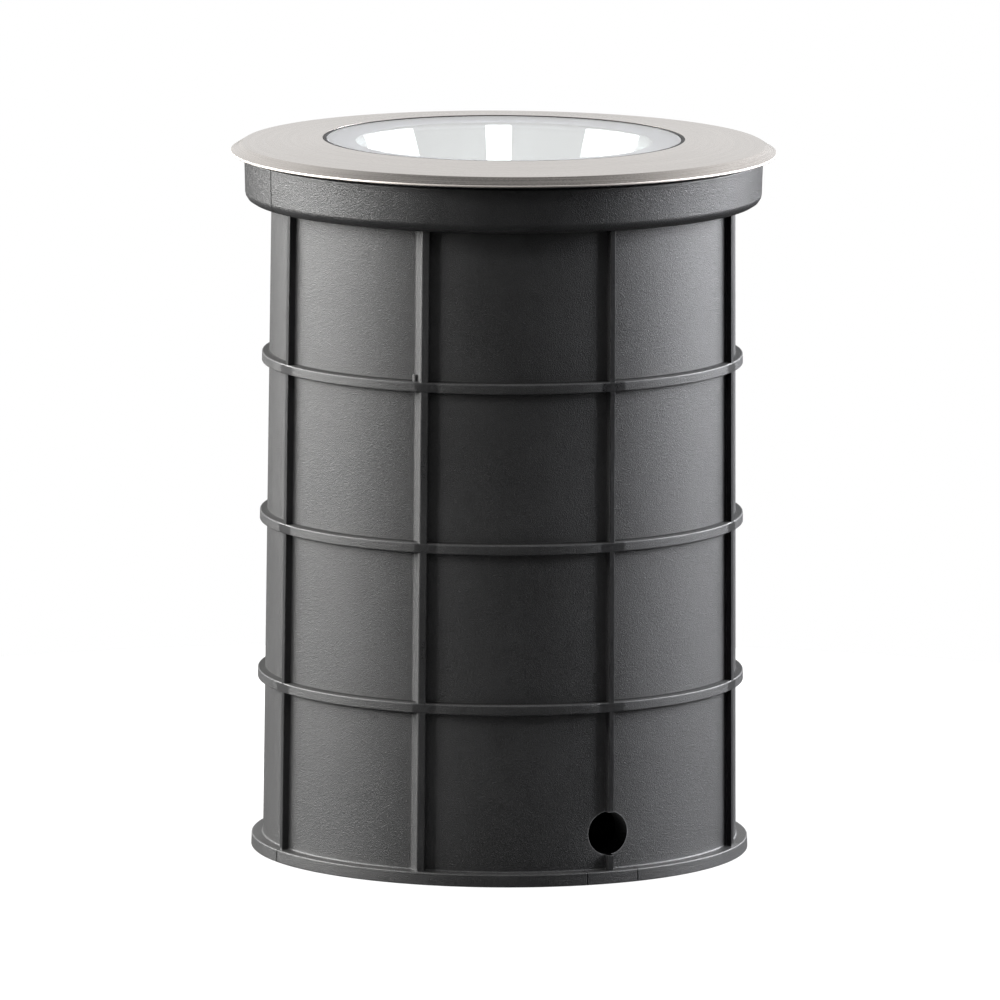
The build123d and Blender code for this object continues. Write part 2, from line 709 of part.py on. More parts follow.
def earth_tag():
    """Ring tag with its crimped barrel."""
    tag = rod(earth_tag_r, floor_z - earth_tag_thick, floor_z, earth_screw_x, lead_line)
    tag += block(earth_screw_x - crimp_x, 2 * crimp_r, floor_z - earth_tag_thick, floor_z,
                 (earth_screw_x + crimp_x) / 2, lead_line)
    tag += Pos(crimp_x, lead_line, floor_z - crimp_r) * Rot(0, 90, 0) * Cylinder(
        crimp_r, crimp_length, align=(Align.CENTER, Align.CENTER, Align.MIN))
    return tag - rod(gear_screw_r + thread_gap, floor_z - 5, floor_z + 1, earth_screw_x, lead_line)


def earth_screw():
    """Screw that bonds the earth tag to the housing."""
    piece = screw(gear_screw_r, gear_screw_head_r, gear_screw_head, floor_z - earth_tag_thick,
                  floor_z + gear_screw_bite)
    return Pos(earth_screw_x, lead_line) * piece


# ---------------------------------------------------------------- gear cover and gland
def gear_cover_seal():
    """Flat ring gasket between the housing's end and the gear cover."""
    ring = rod(barrel_outer_r, seal_z, barrel_z) - rod(barrel_outer_r - seal_width, seal_z - 1, barrel_z + 1)
    hole = rod(cover_bolt_r + hole_gap, seal_z - 1, barrel_z + 1)
    return ring - round_copies(hole, lug_circle_r, cover_bolt_count, lug_turn)


def gear_cover():
    """Cast end cover, dished in the middle, with the holes for the gland and the vent."""
    flat_r = barrel_outer_r - gear_cover_rim
    rim_corner = (barrel_outer_r, gear_cover_z)
    body = turned(
        (0, gear_cover_z - gear_cover_dish), (flat_r, gear_cover_z - gear_cover_dish),
        (flat_r + gear_cover_dish, gear_cover_z), rim_corner, (barrel_outer_r, seal_z),
        (flat_r, seal_z), (flat_r - gear_cover_dish, seal_z - gear_cover_dish),
        (0, seal_z - gear_cover_dish), rounds={rim_corner: 1.5},
    )
    hole = rod(cover_bolt_r + hole_gap, gear_cover_z - 1, seal_z + 1)
    body -= round_copies(hole, lug_circle_r, cover_bolt_count, lug_turn)
    body -= rod(gland_thread_r + thread_gap, gear_cover_z - 10, seal_z + 1)
    return body - rod(vent_r + thread_gap, gear_cover_z - 10, seal_z + 1, vent_x)


def gear_cover_screws():
    """Socket screws of the gear cover."""
    piece = screw(cover_bolt_r, cover_bolt_head_r, cover_bolt_head, gear_cover_z,
                  barrel_z + cover_bolt_bite)
    return round_copies(piece, lug_circle_r, cover_bolt_count, lug_turn)


def gland_body():
    """Gland's screwed body: hexagon, thread through the cover and neck for the nut."""
    body = hexagon(gland_flats, cover_under - gland_flange, cover_under)
    body += rod(gland_thread_r, cover_under, cover_inside + locknut_thick + 2)
    body += rod(gland_neck_r, neck_z, cover_under - gland_flange)
    body -= rod(gland_bore_r, neck_z - 1, cover_inside + 20)
    return body - rod(gland_seal_r, neck_z - 1, neck_z + gland_seal_length)


def gland_locknut():
    """Hexagon nut inside the gear chamber."""
    nut = hexagon(locknut_flats, cover_inside, cover_inside + locknut_thick)
    return nut - rod(gland_thread_r + thread_gap, cover_inside - 1, cover_inside + locknut_thick + 1)


def gland_seal():
    """Rubber sleeve that closes on the cable."""
    body = rod(gland_seal_r, neck_z, neck_z + gland_seal_length)
    return body - rod(gland_seal_bore_r, neck_z - 1, neck_z + gland_seal_length + 1)


def gland_nut():
    """Domed nut with a hexagon, which turns on the gland's neck."""
    bottom = neck_z - seat_gap - gland_end
    top = cover_under - gland_flange - seat_gap
    dome_top = bottom + gland_end + gland_dome
    outer_r = gland_flats / 2
    body = hexagon(gland_flats, dome_top, top)
    body += turned((0, bottom), (gland_mouth_r + gland_mouth_rim, bottom), (outer_r, dome_top), (0, dome_top))
    body -= rod(gland_neck_r + thread_gap, neck_z - seat_gap, top + 1)
    return body - rod(gland_mouth_r, bottom - 1, top)


def vent_plug():
    """Breather that lets the housing equalise without taking in water."""
    head_z = cover_under - vent_head
    edge = (vent_head_r, head_z)
    body = turned((0, head_z), edge, (vent_head_r, cover_under), (vent_r, cover_under),
                  (vent_r, cover_inside + 2), (0, cover_inside + 2), rounds={edge: 1.5})
    slot = Pos(vent_head_r, 0, cover_under - vent_head / 2) * Box(
        2 * vent_slot_depth, vent_slot_width, vent_slot_height)
    body -= round_copies(slot, 0, vent_slots)
    return Pos(vent_x, 0) * body


# ---------------------------------------------------------------- spring clips
def spring_clips():
    """Leaf springs on the housing's side: each bows out to the canister's wall."""
    mid = pad_top - clip_pad_height / 2
    inner = pad_r + clip_thick / 2
    bow = clip_bow_r - clip_thick / 2
    foot = mid - clip_pad_height / 2
    line = FilletPolyline(
        (inner, foot), (inner, mid + clip_pad_height / 2), (bow, mid + clip_rise - 3),
        (bow, mid + clip_rise + 3), (bow - clip_tip_in, mid + clip_rise + clip_tip_rise),
        radius=clip_bend,
    )
    strip = extrude(Plane.XZ * trace(line, clip_thick), clip_width / 2, both=True)
    strip -= Pos(inner, 0, mid) * Rot(0, 90, 0) * Cylinder(clip_screw_r + hole_gap, 4 * clip_thick)
    return [Rot(0, 0, angle) * strip for angle in clip_angles]


def clip_screws():
    """One screw through each leaf spring into its pad."""
    face = pad_r + clip_thick
    piece = screw(clip_screw_r, clip_screw_head_r, clip_screw_head, 0, -clip_thick - clip_screw_bite)
    placed = Pos(face, 0, pad_top - clip_pad_height / 2) * Rot(0, 90, 0) * piece
    return [Rot(0, 0, angle) * placed for angle in clip_angles]


def save(name, piece):
    """Write one named sub-part, of one solid or several separate ones."""
    shape = Compound(children=list(piece)) if isinstance(piece, list) else piece
    export_step(shape, f"parts/{name}.step")


os.makedirs("parts", exist_ok=True)
for make in (
    canister, trim_ring, trim_bosses, glass, glass_gasket, housing, cover_screws, reflector,
    reflector_screws, led_plate, plate_screws, led_cob, led_holder, holder_screws, led_leads,
    lead_bush, driver, driver_screws, terminal_block, terminal_screw, input_leads, earth_lead,
    earth_tag, earth_screw, gear_cover, gear_cover_seal, gear_cover_screws, gland_body,
    gland_locknut, gland_seal, gland_nut, vent_plug, spring_clips, clip_screws,
):
    save(make.__name__, make())
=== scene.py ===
# In ground well light: a glazed uplight in a moulded canister, which is set in the ground up to
# its stainless ring. The object comes packed as a fixed frame; this file dresses it and lights it.
from math import atan2, cos, hypot, pi, radians, sin, sqrt, tan

import bmesh
import bpy
from mathutils import Matrix, Vector


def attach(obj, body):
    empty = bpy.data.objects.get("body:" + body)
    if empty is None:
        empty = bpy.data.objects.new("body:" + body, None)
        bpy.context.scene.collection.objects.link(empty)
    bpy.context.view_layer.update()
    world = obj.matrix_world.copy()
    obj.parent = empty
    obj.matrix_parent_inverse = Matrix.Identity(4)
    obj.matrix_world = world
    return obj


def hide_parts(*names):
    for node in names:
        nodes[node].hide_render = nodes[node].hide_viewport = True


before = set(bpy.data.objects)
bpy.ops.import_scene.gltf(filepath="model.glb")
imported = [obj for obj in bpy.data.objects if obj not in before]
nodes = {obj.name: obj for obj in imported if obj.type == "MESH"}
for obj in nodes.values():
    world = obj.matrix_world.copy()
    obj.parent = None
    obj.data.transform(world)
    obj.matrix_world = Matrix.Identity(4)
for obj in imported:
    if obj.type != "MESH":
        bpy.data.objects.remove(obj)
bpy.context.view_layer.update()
mm = 0.001


# ---------------------------------------------------------------- studio
# A white sweep, photographed with a long lens from a little above the ring. Two wide softboxes
# stand left and right, so the black moulding is drawn by their reflections and not by shadow.
camera_distance = 6.9628
camera_height = 1.2318
camera_turn = radians(-27)
camera_pitch = -0.1518
camera_roll = -0.0064

camera = bpy.data.objects.new("camera", bpy.data.cameras.new("camera"))
bpy.context.scene.collection.objects.link(camera)
bpy.context.scene.camera = camera
camera.data.sensor_width = 36
camera.data.lens = 530.91
camera.data.shift_x = -0.0015
camera.data.clip_end = 60
camera_place = (camera_distance * sin(camera_turn), -camera_distance * cos(camera_turn), camera_height)
camera.matrix_world = (
    Matrix.Translation(camera_place) @ Matrix.Rotation(camera_turn, 4, "Z")
    @ Matrix.Rotation(camera_pitch, 4, "X") @ Matrix.Rotation(camera_roll, 4, "Y")
    @ Matrix.Rotation(pi / 2, 4, "X"))
bpy.context.scene.view_settings.view_transform = "Standard"


def put(tree, kind, *inputs, settings=None, **named):
    """Adds a node, of the shader kinds unless it says Geometry. Inputs are sockets to link or plain
    values, in order or by name."""
    made = tree.nodes.new(kind if kind.startswith("Geometry") else "ShaderNode" + kind)
    for key, value in (settings or {}).items():
        setattr(made, key, value)
    pairs = [(made.inputs[k], value) for k, value in enumerate(inputs)]
    pairs += [(made.inputs[name.replace("_", " ")], value) for name, value in named.items()]
    for socket, value in pairs:
        if isinstance(value, bpy.types.NodeSocket):
            tree.links.new(value, socket)
        elif value is not None:
            socket.default_value = value
    return made


def math(tree, operation, *inputs):
    """One Math node's result."""
    return put(tree, "Math", *inputs, settings={"operation": operation}).outputs[0]


def ramp(tree, value, low, high, start=0.0, end=1.0):
    """A value moved from one range to another with soft ends."""
    return put(tree, "MapRange", value, low, high, start, end,
               settings={"interpolation_type": "SMOOTHSTEP"}).outputs[0]


def mix(tree, share, first, second):
    """Two colours mixed by a share."""
    made = put(tree, "Mix", share, settings={"data_type": "RGBA"})
    for k, value in ((6, first), (7, second)):
        if isinstance(value, bpy.types.NodeSocket):
            tree.links.new(value, made.inputs[k])
        else:
            made.inputs[k].default_value = value
    return made.outputs[2]


def grey(level):
    return (level, level, level, 1)


# the room as the gloss sees it: dark in front of the light, white behind it, dimmer overhead
world = bpy.data.worlds.new("studio")
bpy.context.scene.world = world
world.use_nodes = True
tree = world.node_tree
tree.nodes.clear()
direction = put(tree, "TexCoord").outputs["Generated"]
turned = put(tree, "VectorRotate", settings={"rotation_type": "Z_AXIS"}, Vector=direction, Angle=-camera_turn)
side = put(tree, "SeparateXYZ", turned.outputs[0])
rise, away, across = side.outputs["Z"], side.outputs["Y"], side.outputs["X"]
back = ramp(tree, away, -0.15, 0.35)
front_sky = ramp(tree, rise, 0.12, 0.80, 0.006, 0.66)
horizon = ramp(tree, across, -0.5, -0.1, 0.25, 0.10)
low_sky = ramp(tree, rise, -0.06, 0.10, horizon, 1.0)
high_sky = ramp(tree, rise, 0.60, 0.98, 1.0, 0.14)
back_sky = math(tree, "MULTIPLY", low_sky, high_sky)
level = mix(tree, back, front_sky, back_sky)
path = put(tree, "LightPath").outputs
mirrored = math(tree, "MAXIMUM", path["Is Glossy Ray"], path["Is Transmission Ray"])
seen = mix(tree, mirrored, grey(0.28), level)
seen = mix(tree, path["Is Camera Ray"], seen, grey(1.0))
put(tree, "OutputWorld", put(tree, "Background", seen, 1.0).outputs[0])

# the paper under the light: shaded up to the foot's edge, and glowing white from there on
paper_r, paper_drop, paper_glow = 0.6, 0.0002, 0.84
shade_r, foot_edge_r, glow_r = 0.104, 0.108, 0.112
floor_mesh = bpy.data.meshes.new("floor")
floor_form = bmesh.new()
bmesh.ops.create_circle(floor_form, cap_ends=True, segments=96, radius=paper_r)
bmesh.ops.translate(floor_form, verts=floor_form.verts, vec=(0, 0, -paper_drop))
floor_form.to_mesh(floor_mesh)
floor = bpy.data.objects.new("floor", floor_mesh)
floor.visible_glossy = False
bpy.context.scene.collection.objects.link(floor)
paper = bpy.data.materials.new("white paper")
paper.use_nodes = True
tree = paper.node_tree
tree.nodes.clear()
where = put(tree, "TexCoord").outputs["Object"]
fibre = put(tree, "TexNoise", Vector=where, Scale=400)
glow = put(tree, "Emission", grey(1.0), 1.0)
path = put(tree, "LightPath").outputs
shown = math(tree, "MAXIMUM", path["Is Camera Ray"], math(
    tree, "MAXIMUM", path["Is Glossy Ray"], path["Is Transmission Ray"]))
out = put(tree, "VectorMath", where, settings={"operation": "LENGTH"}).outputs["Value"]
sheet = mix(tree, fibre.outputs[0], grey(0.80), grey(0.84))
matt = put(tree, "BsdfDiffuse", mix(tree, ramp(tree, out, shade_r, foot_edge_r), grey(0.012), sheet))
lit = math(tree, "MULTIPLY", shown, ramp(tree, out, foot_edge_r, glow_r, 0.0, paper_glow))
both = put(tree, "MixShader", lit, matt.outputs[0], glow.outputs[0])
under = put(tree, "NewGeometry").outputs["Backfacing"]
seen = put(tree, "MixShader", under, both.outputs[0], put(tree, "BsdfTransparent").outputs[0])
put(tree, "OutputMaterial", seen.outputs[0])
floor_mesh.materials.append(paper)


lamp_aim_z = 0.17


def softbox(name, turn, rise, distance, width, height, watts, colour):
    """A flat lamp at an angle from the camera's direction that faces the middle of the light."""
    data = bpy.data.lights.new(name, "AREA")
    data.shape, data.size, data.size_y = "RECTANGLE", width, height
    data.energy, data.color = watts, colour
    lamp = bpy.data.objects.new(name, data)
    turn += camera_turn
    aim = Vector((0, 0, lamp_aim_z))
    place = aim + distance * Vector((cos(rise) * sin(turn), -cos(rise) * cos(turn), sin(rise)))
    lamp.matrix_world = Matrix.Translation(place) @ (place - aim).to_track_quat("Z", "Y").to_matrix().to_4x4()
    lamp.visible_camera = False
    bpy.context.scene.collection.objects.link(lamp)


softbox("left softbox", turn=radians(-96), rise=radians(20.5), distance=1.6, width=1.92, height=0.88,
        watts=132, colour=(1.0, 0.995, 0.975))
softbox("right softbox", turn=radians(108), rise=radians(20.5), distance=1.6, width=1.8, height=0.88,
        watts=120, colour=(0.955, 0.965, 1.0))
softbox("top strip", turn=0, rise=radians(49), distance=1.9, width=0.55, height=0.35,
        watts=9, colour=(1.0, 1.0, 1.0))


# ---------------------------------------------------------------- canister
# Sleeve moulded in black polypropylene, open at the foot. Hoops and upright ribs stiffen it, and a
# stepped collar carries the lamp unit. The mould opens front and rear, so each side has a parting
# line and the slanted ribs follow the pull. Its panels are spark-eroded, the ribs' faces polished.
wall_foot_r = 113.31
wall_slope = tan(radians(0.52))
wall_thick = 3.2
foot_r, foot_height = 118.91, 6.0
rib_count, rib_width, rib_proud, rib_fillet, rib_shift = 8, 2.8, 3.4, 0.45, 0.7
hoop_count, hoop_proud, hoop_drop, hoop_height = 3, 3.5, 0.7, 4.6
collar_r, collar_z, collar_top, collar_wall = 122.89, 311.0, 332.3, 3.6
bay = (collar_z - foot_height) / (hoop_count + 1)
ledge_r, ledge_z = 107.25, 315.0
panel_columns = 30
hole_r, hole_z, pad_r, pad_face, pad_back = 10.25, 23.4, 14.25, 101.11, 111.7
hole_steps, drill_reach = 72, 130


def wall_r(z):
    return wall_foot_r - z * wall_slope


def rounded(corners, steps=4, guard=0.3):
    """A closed section, from corners given as (radius, height, rounding). A guard point on each
    side of a rounding keeps its soft shading off the flats."""
    outline = []
    for k, (x, z, rounding) in enumerate(corners):
        corner = Vector((x, z))
        if not rounding:
            outline.append(corner)
            continue
        sides = [Vector(corners[k - 1][:2]) - corner, Vector(corners[(k + 1) % len(corners)][:2]) - corner]
        before, after = (side.normalized() for side in sides)
        half = before.angle(after) / 2
        cut = rounding / tan(half)
        centre = corner + (before + after).normalized() * rounding / sin(half)
        start, end = (corner + way * cut - centre for way in (before, after))
        arc = [centre + start.lerp(end, i / steps).normalized() * rounding for i in range(steps + 1)]
        near, far = (min(guard, max(side.length / 2 - cut, 0) * 0.6) for side in sides)
        outline += ([corner + before * (cut + near)] if near > 0.02 else []) + arc
        outline += [corner + after * (cut + far)] if far > 0.02 else []
    return outline


def canister_section():
    """The sleeve's half section between two ribs, as a closed loop."""
    corners = [(wall_foot_r - wall_thick, 0, 0.4), (foot_r, 0, 0.4), (foot_r - 0.2, foot_height, 0.6),
               (wall_r(foot_height), foot_height, 0.8)]
    for k in range(1, hoop_count + 1):
        z = foot_height + k * bay - hoop_drop
        top = z + hoop_height
        corners += [(wall_r(z), z, 0.4), (wall_r(z) + hoop_proud, z, 0.35),
                    (wall_r(top) + hoop_proud, top, 0.5), (wall_r(top), top, 0.5)]
    corners += [(wall_r(collar_z), collar_z, 0.8), (collar_r, collar_z, 4.5),
                (collar_r + 0.6, collar_top, 0.8), (collar_r + 0.6 - collar_wall, collar_top, 0.5),
                (collar_r - collar_wall, ledge_z, 0.8), (ledge_r, ledge_z, 0.5)]
    return rounded(corners)


def rib_columns():
    """Offsets across half a rib, with how far each stands out: root fillet, drafted side, face."""
    edge = rib_width / 2
    root = edge + 0.05
    return [(root + 0.25 + rib_fillet, 0.0), (root + rib_fillet, 0.0), (root + rib_fillet * 0.45, 0.03),
            (root + rib_fillet * 0.12, 0.09), (root, 0.18), (root - 0.01, 0.28), (edge, 0.86),
            (edge - 0.02, 0.91), (edge - 0.10, 0.975), (edge - 0.28, 1.0), (edge - 0.5, 1.0)]


def rib_point(quarter, r, z, offset):
    """Where an offset across a rib meets a radius. Sides run along the mould's pull, which is Y."""
    turn = quarter * 2 * pi / rib_count
    if quarter % 4 == 2:
        return atan2(offset, sqrt(r * r - offset * offset)) + turn
    across = (wall_r(z) + rib_proud) * sin(turn) + offset * (1 if cos(turn) > 0 else -1)
    across += rib_shift * round(sin(turn) / sin(radians(45))) if quarter % 2 else 0
    angle = atan2(across, sqrt(max(r * r - across * across, 1e-9)))
    return angle if cos(turn) > 0 else pi - angle


def canister_row(r, z, on_wall):
    """One ring of points: its angles and radii, rib by rib with the panels' columns between."""
    half = rib_columns()
    across = [(-offset, out) for offset, out in half] + [(offset, out) for offset, out in reversed(half)]
    ribs = []
    for quarter in range(rib_count):
        middle = quarter * 2 * pi / rib_count
        points = []
        for offset, out in across:
            stand = max(r, wall_r(z) + rib_proud) if on_wall else r
            radius = r + out * (stand - r)
            angle = rib_point(quarter, radius, z, offset) if on_wall else middle + offset / r
            points.append((angle, radius))
        ribs.append(points)
    row = []
    for quarter, points in enumerate(ribs):
        row += points
        start = points[-1][0]
        end = ribs[(quarter + 1) % rib_count][0][0]
        while end < start:
            end += 2 * pi
        row += [(start + (end - start) * k / (panel_columns + 1), r) for k in range(1, panel_columns + 1)]
    return [Vector((radius * sin(angle), -radius * cos(angle), z)) for angle, radius in row]


def loops_to_faces(form, rings):
    """Skins closed rings of points into a closed shell, the last ring joined to the first."""
    made = [[form.verts.new(point * mm) for point in ring] for ring in rings]
    for k, ring in enumerate(made):
        above = made[(k + 1) % len(made)]
        for j in range(len(ring)):
            i = (j + 1) % len(ring)
            form.faces.new((ring[j], ring[i], above[i], above[j]))


def settle(form, merge=0.004):
    """Merges doubles, drops faces without area and turns the rest outwards."""
    bmesh.ops.remove_doubles(form, verts=form.verts, dist=merge * mm)
    bmesh.ops.dissolve_degenerate(form, edges=form.edges, dist=merge * mm)
    bmesh.ops.recalc_face_normals(form, faces=form.faces)


def as_object(name, form):
    mesh = bpy.data.meshes.new(name)
    form.to_mesh(mesh)
    form.free()
    made = bpy.data.objects.new(name, mesh)
    bpy.context.scene.collection.objects.link(made)
    return made


def flattened(made):
    """Applies a piece's modifiers by taking the evaluated mesh."""
    graph = bpy.context.evaluated_depsgraph_get()
    mesh = bpy.data.meshes.new_from_object(made.evaluated_get(graph))
    made.modifiers.clear()
    old, made.data = made.data, mesh
    bpy.data.meshes.remove(old)
    return made


def smoothed(made, angle=38):
    made.data.shade_smooth()
    made.data.set_sharp_from_angle(angle=radians(angle))
    return made


def dressed(made, material, body, slot, *replaced):
    """Gives a finished piece its material, its body and the nodes it stands for; its finish's slot is not
    used.
    """
    made.data.materials.clear()
    made.data.materials.append(material)
    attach(made, body)
    if replaced:
        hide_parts(*replaced)
    return made


def outline_prism(form, outline, start, end):
    """A solid along Y with an outline of (x, z) points."""
    near = [form.verts.new((x * mm, start * mm, z * mm)) for x, z in outline]
    far = [form.verts.new((x * mm, end * mm, z * mm)) for x, z in outline]
    form.faces.new(near)
    form.faces.new(far)
    for k in range(len(outline)):
        j = (k + 1) % len(outline)
        form.faces.new((near[k], near[j], far[j], far[k]))
    bmesh.ops.recalc_face_normals(form, faces=form.faces)


def boolean(made, other, operation):
    step = made.modifiers.new(operation, "BOOLEAN")
    step.operation, step.object, step.solver = operation, other, "EXACT"


form = bmesh.new()
rings = []
for r, z in canister_section():
    on_wall = foot_height - 0.01 <= z <= collar_z + 0.3 and r < foot_r and r > wall_r(z) - 1.0 \
        and not (z > collar_z - 0.5 and r > wall_r(z) + rib_proud + 2)
    rings.append(canister_row(r, z, on_wall))
loops_to_faces(form, rings)
settle(form)
canister = as_object("canister_sleeve", form)

form = bmesh.new()
arch = [(pad_r * sin(radians(a)), hole_z + pad_r * cos(radians(a))) for a in range(-90, 91, 10)]
pad_outline = arch + [(pad_r, 0.2), (-pad_r, 0.2)]
outline_prism(form, pad_outline, -pad_face, -pad_back)
outline_prism(form, pad_outline, pad_face, pad_back)
pads = as_object("pads", form)
form = bmesh.new()
turns = [2 * pi * k / hole_steps for k in range(hole_steps)]
hole_outline = [(hole_r * cos(turn), hole_z + hole_r * sin(turn)) for turn in turns]
outline_prism(form, hole_outline, -drill_reach, drill_reach)
drill = as_object("drill", form)
boolean(canister, pads, "UNION")
boolean(canister, drill, "DIFFERENCE")
flattened(canister)
for tool in (pads, drill):
    bpy.data.objects.remove(tool)

# the sprue's nub, left on the side of a slanted rib above the top hoop
nub_r, nub_z, nub_top = 1.7, 238.5, 242.0
nub_x = -((wall_r(nub_z) + rib_proud) * sin(radians(45)) + rib_width / 2 + rib_shift)
nub_y = -sqrt(wall_r(nub_z) ** 2 - nub_x ** 2)
nub_core = 0.05
nub_section = [(nub_r, nub_z), (nub_r, nub_top - 0.4), (nub_r - 0.35, nub_top), (nub_core, nub_top),
               (nub_core, nub_z)]
form = bmesh.new()
form.from_mesh(canister.data)
turns = [2 * pi * k / 16 for k in range(16)]
loops_to_faces(form, [[Vector((nub_x + r * cos(turn), nub_y + r * sin(turn), z)) for turn in turns]
                      for r, z in nub_section])
settle(form)
form.to_mesh(canister.data)
form.free()
smoothed(canister)

# how smooth the tool left each place (1 on the ribs' faces, 0 elsewhere); how far in a point lies on the
# sleeve's inner side, which gets painted shade; and where painted shade darkens the corners over and under
# the hoops and the collar's top
polished_from, polished_to, rib_reach = 2.9, 3.3, 6
collar_side, insert_edge = 117.2, 13.35
face_mark = canister.data.attributes.new("face", "FLOAT", "POINT")
inner_shade_mark = canister.data.attributes.new("painted_shade", "FLOAT", "POINT")
crevice_shade_mark = canister.data.attributes.new("painted_crevice_shade", "FLOAT", "POINT")
for point, smooth_mark, inner_shade, crevice_shade in zip(
        canister.data.vertices, face_mark.data, inner_shade_mark.data, crevice_shade_mark.data):
    x, y, z = (c / mm for c in point.co)
    out = hypot(x, y)
    stand = out - wall_r(z)
    turns = [atan2(x, -y) - k * 2 * pi / rib_count for k in range(rib_count)]
    to_rib = min(abs(out * sin(turn)) for turn in turns if cos(turn) > 0)
    on_rib = to_rib < rib_reach and foot_height < z < collar_z - 1
    share = (stand - polished_from) / (polished_to - polished_from)
    smooth_mark.value = min(max(share, 0), 1) if on_rib else 0.0
    on_nub = hypot(x - nub_x, y - nub_y) < nub_r + 0.3 and nub_z - 0.1 < z < nub_top + 0.1
    # painted shade over the sleeve's inner side, below the ledge and off the nub
    inner_shade.value = min(max((-0.4 - stand) / 0.8, 0), 1) if z < ledge_z - 20 and not on_nub else 0.0
    in_bays = foot_height + 9 < z < collar_z - 9 and stand < hoop_proud - 0.6
    under = (z - foot_height + hoop_drop) % bay
    over = under - hoop_height
    # painted shade: full over the hoops' tops and on the collar's top, a little less under the hoops
    if z > collar_top - 0.5 or in_bays and -0.05 < over < 0.65:
        crevice_shade.value = 1.0
    elif in_bays and (under < 0.2 or under > bay - 0.5):
        crevice_shade.value = 0.8


def effect(name, inputs, outputs):
    """Starts a shader group for an effect that several finishes share."""
    group = bpy.data.node_groups.new(name, "ShaderNodeTree")
    for title, value in inputs.items():
        group.interface.new_socket(title, in_out="INPUT", socket_type="NodeSocketFloat").default_value = value
    for title in outputs:
        group.interface.new_socket(title, in_out="OUTPUT", socket_type="NodeSocketFloat")
    return group, group.nodes.new("NodeGroupInput").outputs, group.nodes.new("NodeGroupOutput").inputs


def uses(tree, group, **values):
    """Places an effect in a material with its own values."""
    return put(tree, "Group", settings={"node_tree": group}, **values).outputs


# grain: the fine pitting of a spark-eroded tool or of a cast skin, with cloudy patches of gloss
grain, given, result = effect("grain", {"Size": 0.5, "Depth": 1.0}, ("Height", "Speck", "Cloud"))
where = put(grain, "TexCoord").outputs["Object"]
per_metre = math(grain, "DIVIDE", 1000.0, given["Size"])
fine = put(grain, "TexNoise", Vector=where, Scale=per_metre, Detail=2.0, Roughness=0.6)
pits = put(grain, "TexVoronoi", Vector=where, Scale=math(grain, "MULTIPLY", per_metre, 0.8))
height = math(grain, "ADD", math(grain, "MULTIPLY", fine.outputs[0], 0.7), math(
    grain, "MULTIPLY", pits.outputs[0], 0.5))
grain.links.new(math(grain, "MULTIPLY", height, given["Depth"]), result["Height"])
grain.links.new(ramp(grain, fine.outputs[0], 0.40, 0.70), result["Speck"])
cloud = put(grain, "TexNoise", Vector=where, Scale=22.0, Detail=4.0, Roughness=0.6)
grain.links.new(ramp(grain, cloud.outputs[0], 0.35, 0.68), result["Cloud"])

# dust: pale grains that lie on faces turned up, and in smears where hands have held the piece
dust, given, result = effect("dust", {"Lying": 0.5, "Smears": 0.3}, ("Mask",))
where = put(dust, "TexCoord").outputs["Object"]
up = put(dust, "SeparateXYZ", put(dust, "NewGeometry").outputs["Normal"]).outputs["Z"]
flecks = put(dust, "TexNoise", Vector=where, Scale=900.0, Detail=3.0)
lying = math(dust, "MULTIPLY", ramp(dust, up, 0.35, 0.95), ramp(dust, flecks.outputs[0], 0.35, 0.7))
smear = put(dust, "TexNoise", Vector=where, Scale=14.0, Detail=6.0, Roughness=0.7)
smears = math(dust, "MULTIPLY", ramp(dust, smear.outputs[0], 0.52, 0.75), ramp(
    dust, flecks.outputs[0], 0.3, 0.8))
total = math(dust, "ADD", math(dust, "MULTIPLY", lying, given["Lying"]), math(
    dust, "MULTIPLY", smears, given["Smears"]))
dust.links.new(total, result["Mask"])


def finish(name):
    """Starts a material and gives it with its tree and its shader."""
    material = bpy.data.materials.new(name)
    material.use_nodes = True
    tree = material.node_tree
    tree.nodes.clear()
    shader = put(tree, "BsdfPrincipled")
    put(tree, "OutputMaterial", shader.outputs[0])
    return material, tree, shader


def spot(tree):
    """Where on the object a point lies, in metres."""
    return put(tree, "TexCoord").outputs["Object"]


def mark(tree, name):
    """A mark that was set on a piece's points."""
    return put(tree, "Attribute", settings={"attribute_name": name}).outputs["Fac"]


def bump(tree, shader, height, depth, strength=1.0):
    made = put(tree, "Bump", Height=height, Distance=depth * mm, Strength=strength)
    tree.links.new(made.outputs[0], shader.inputs["Normal"])


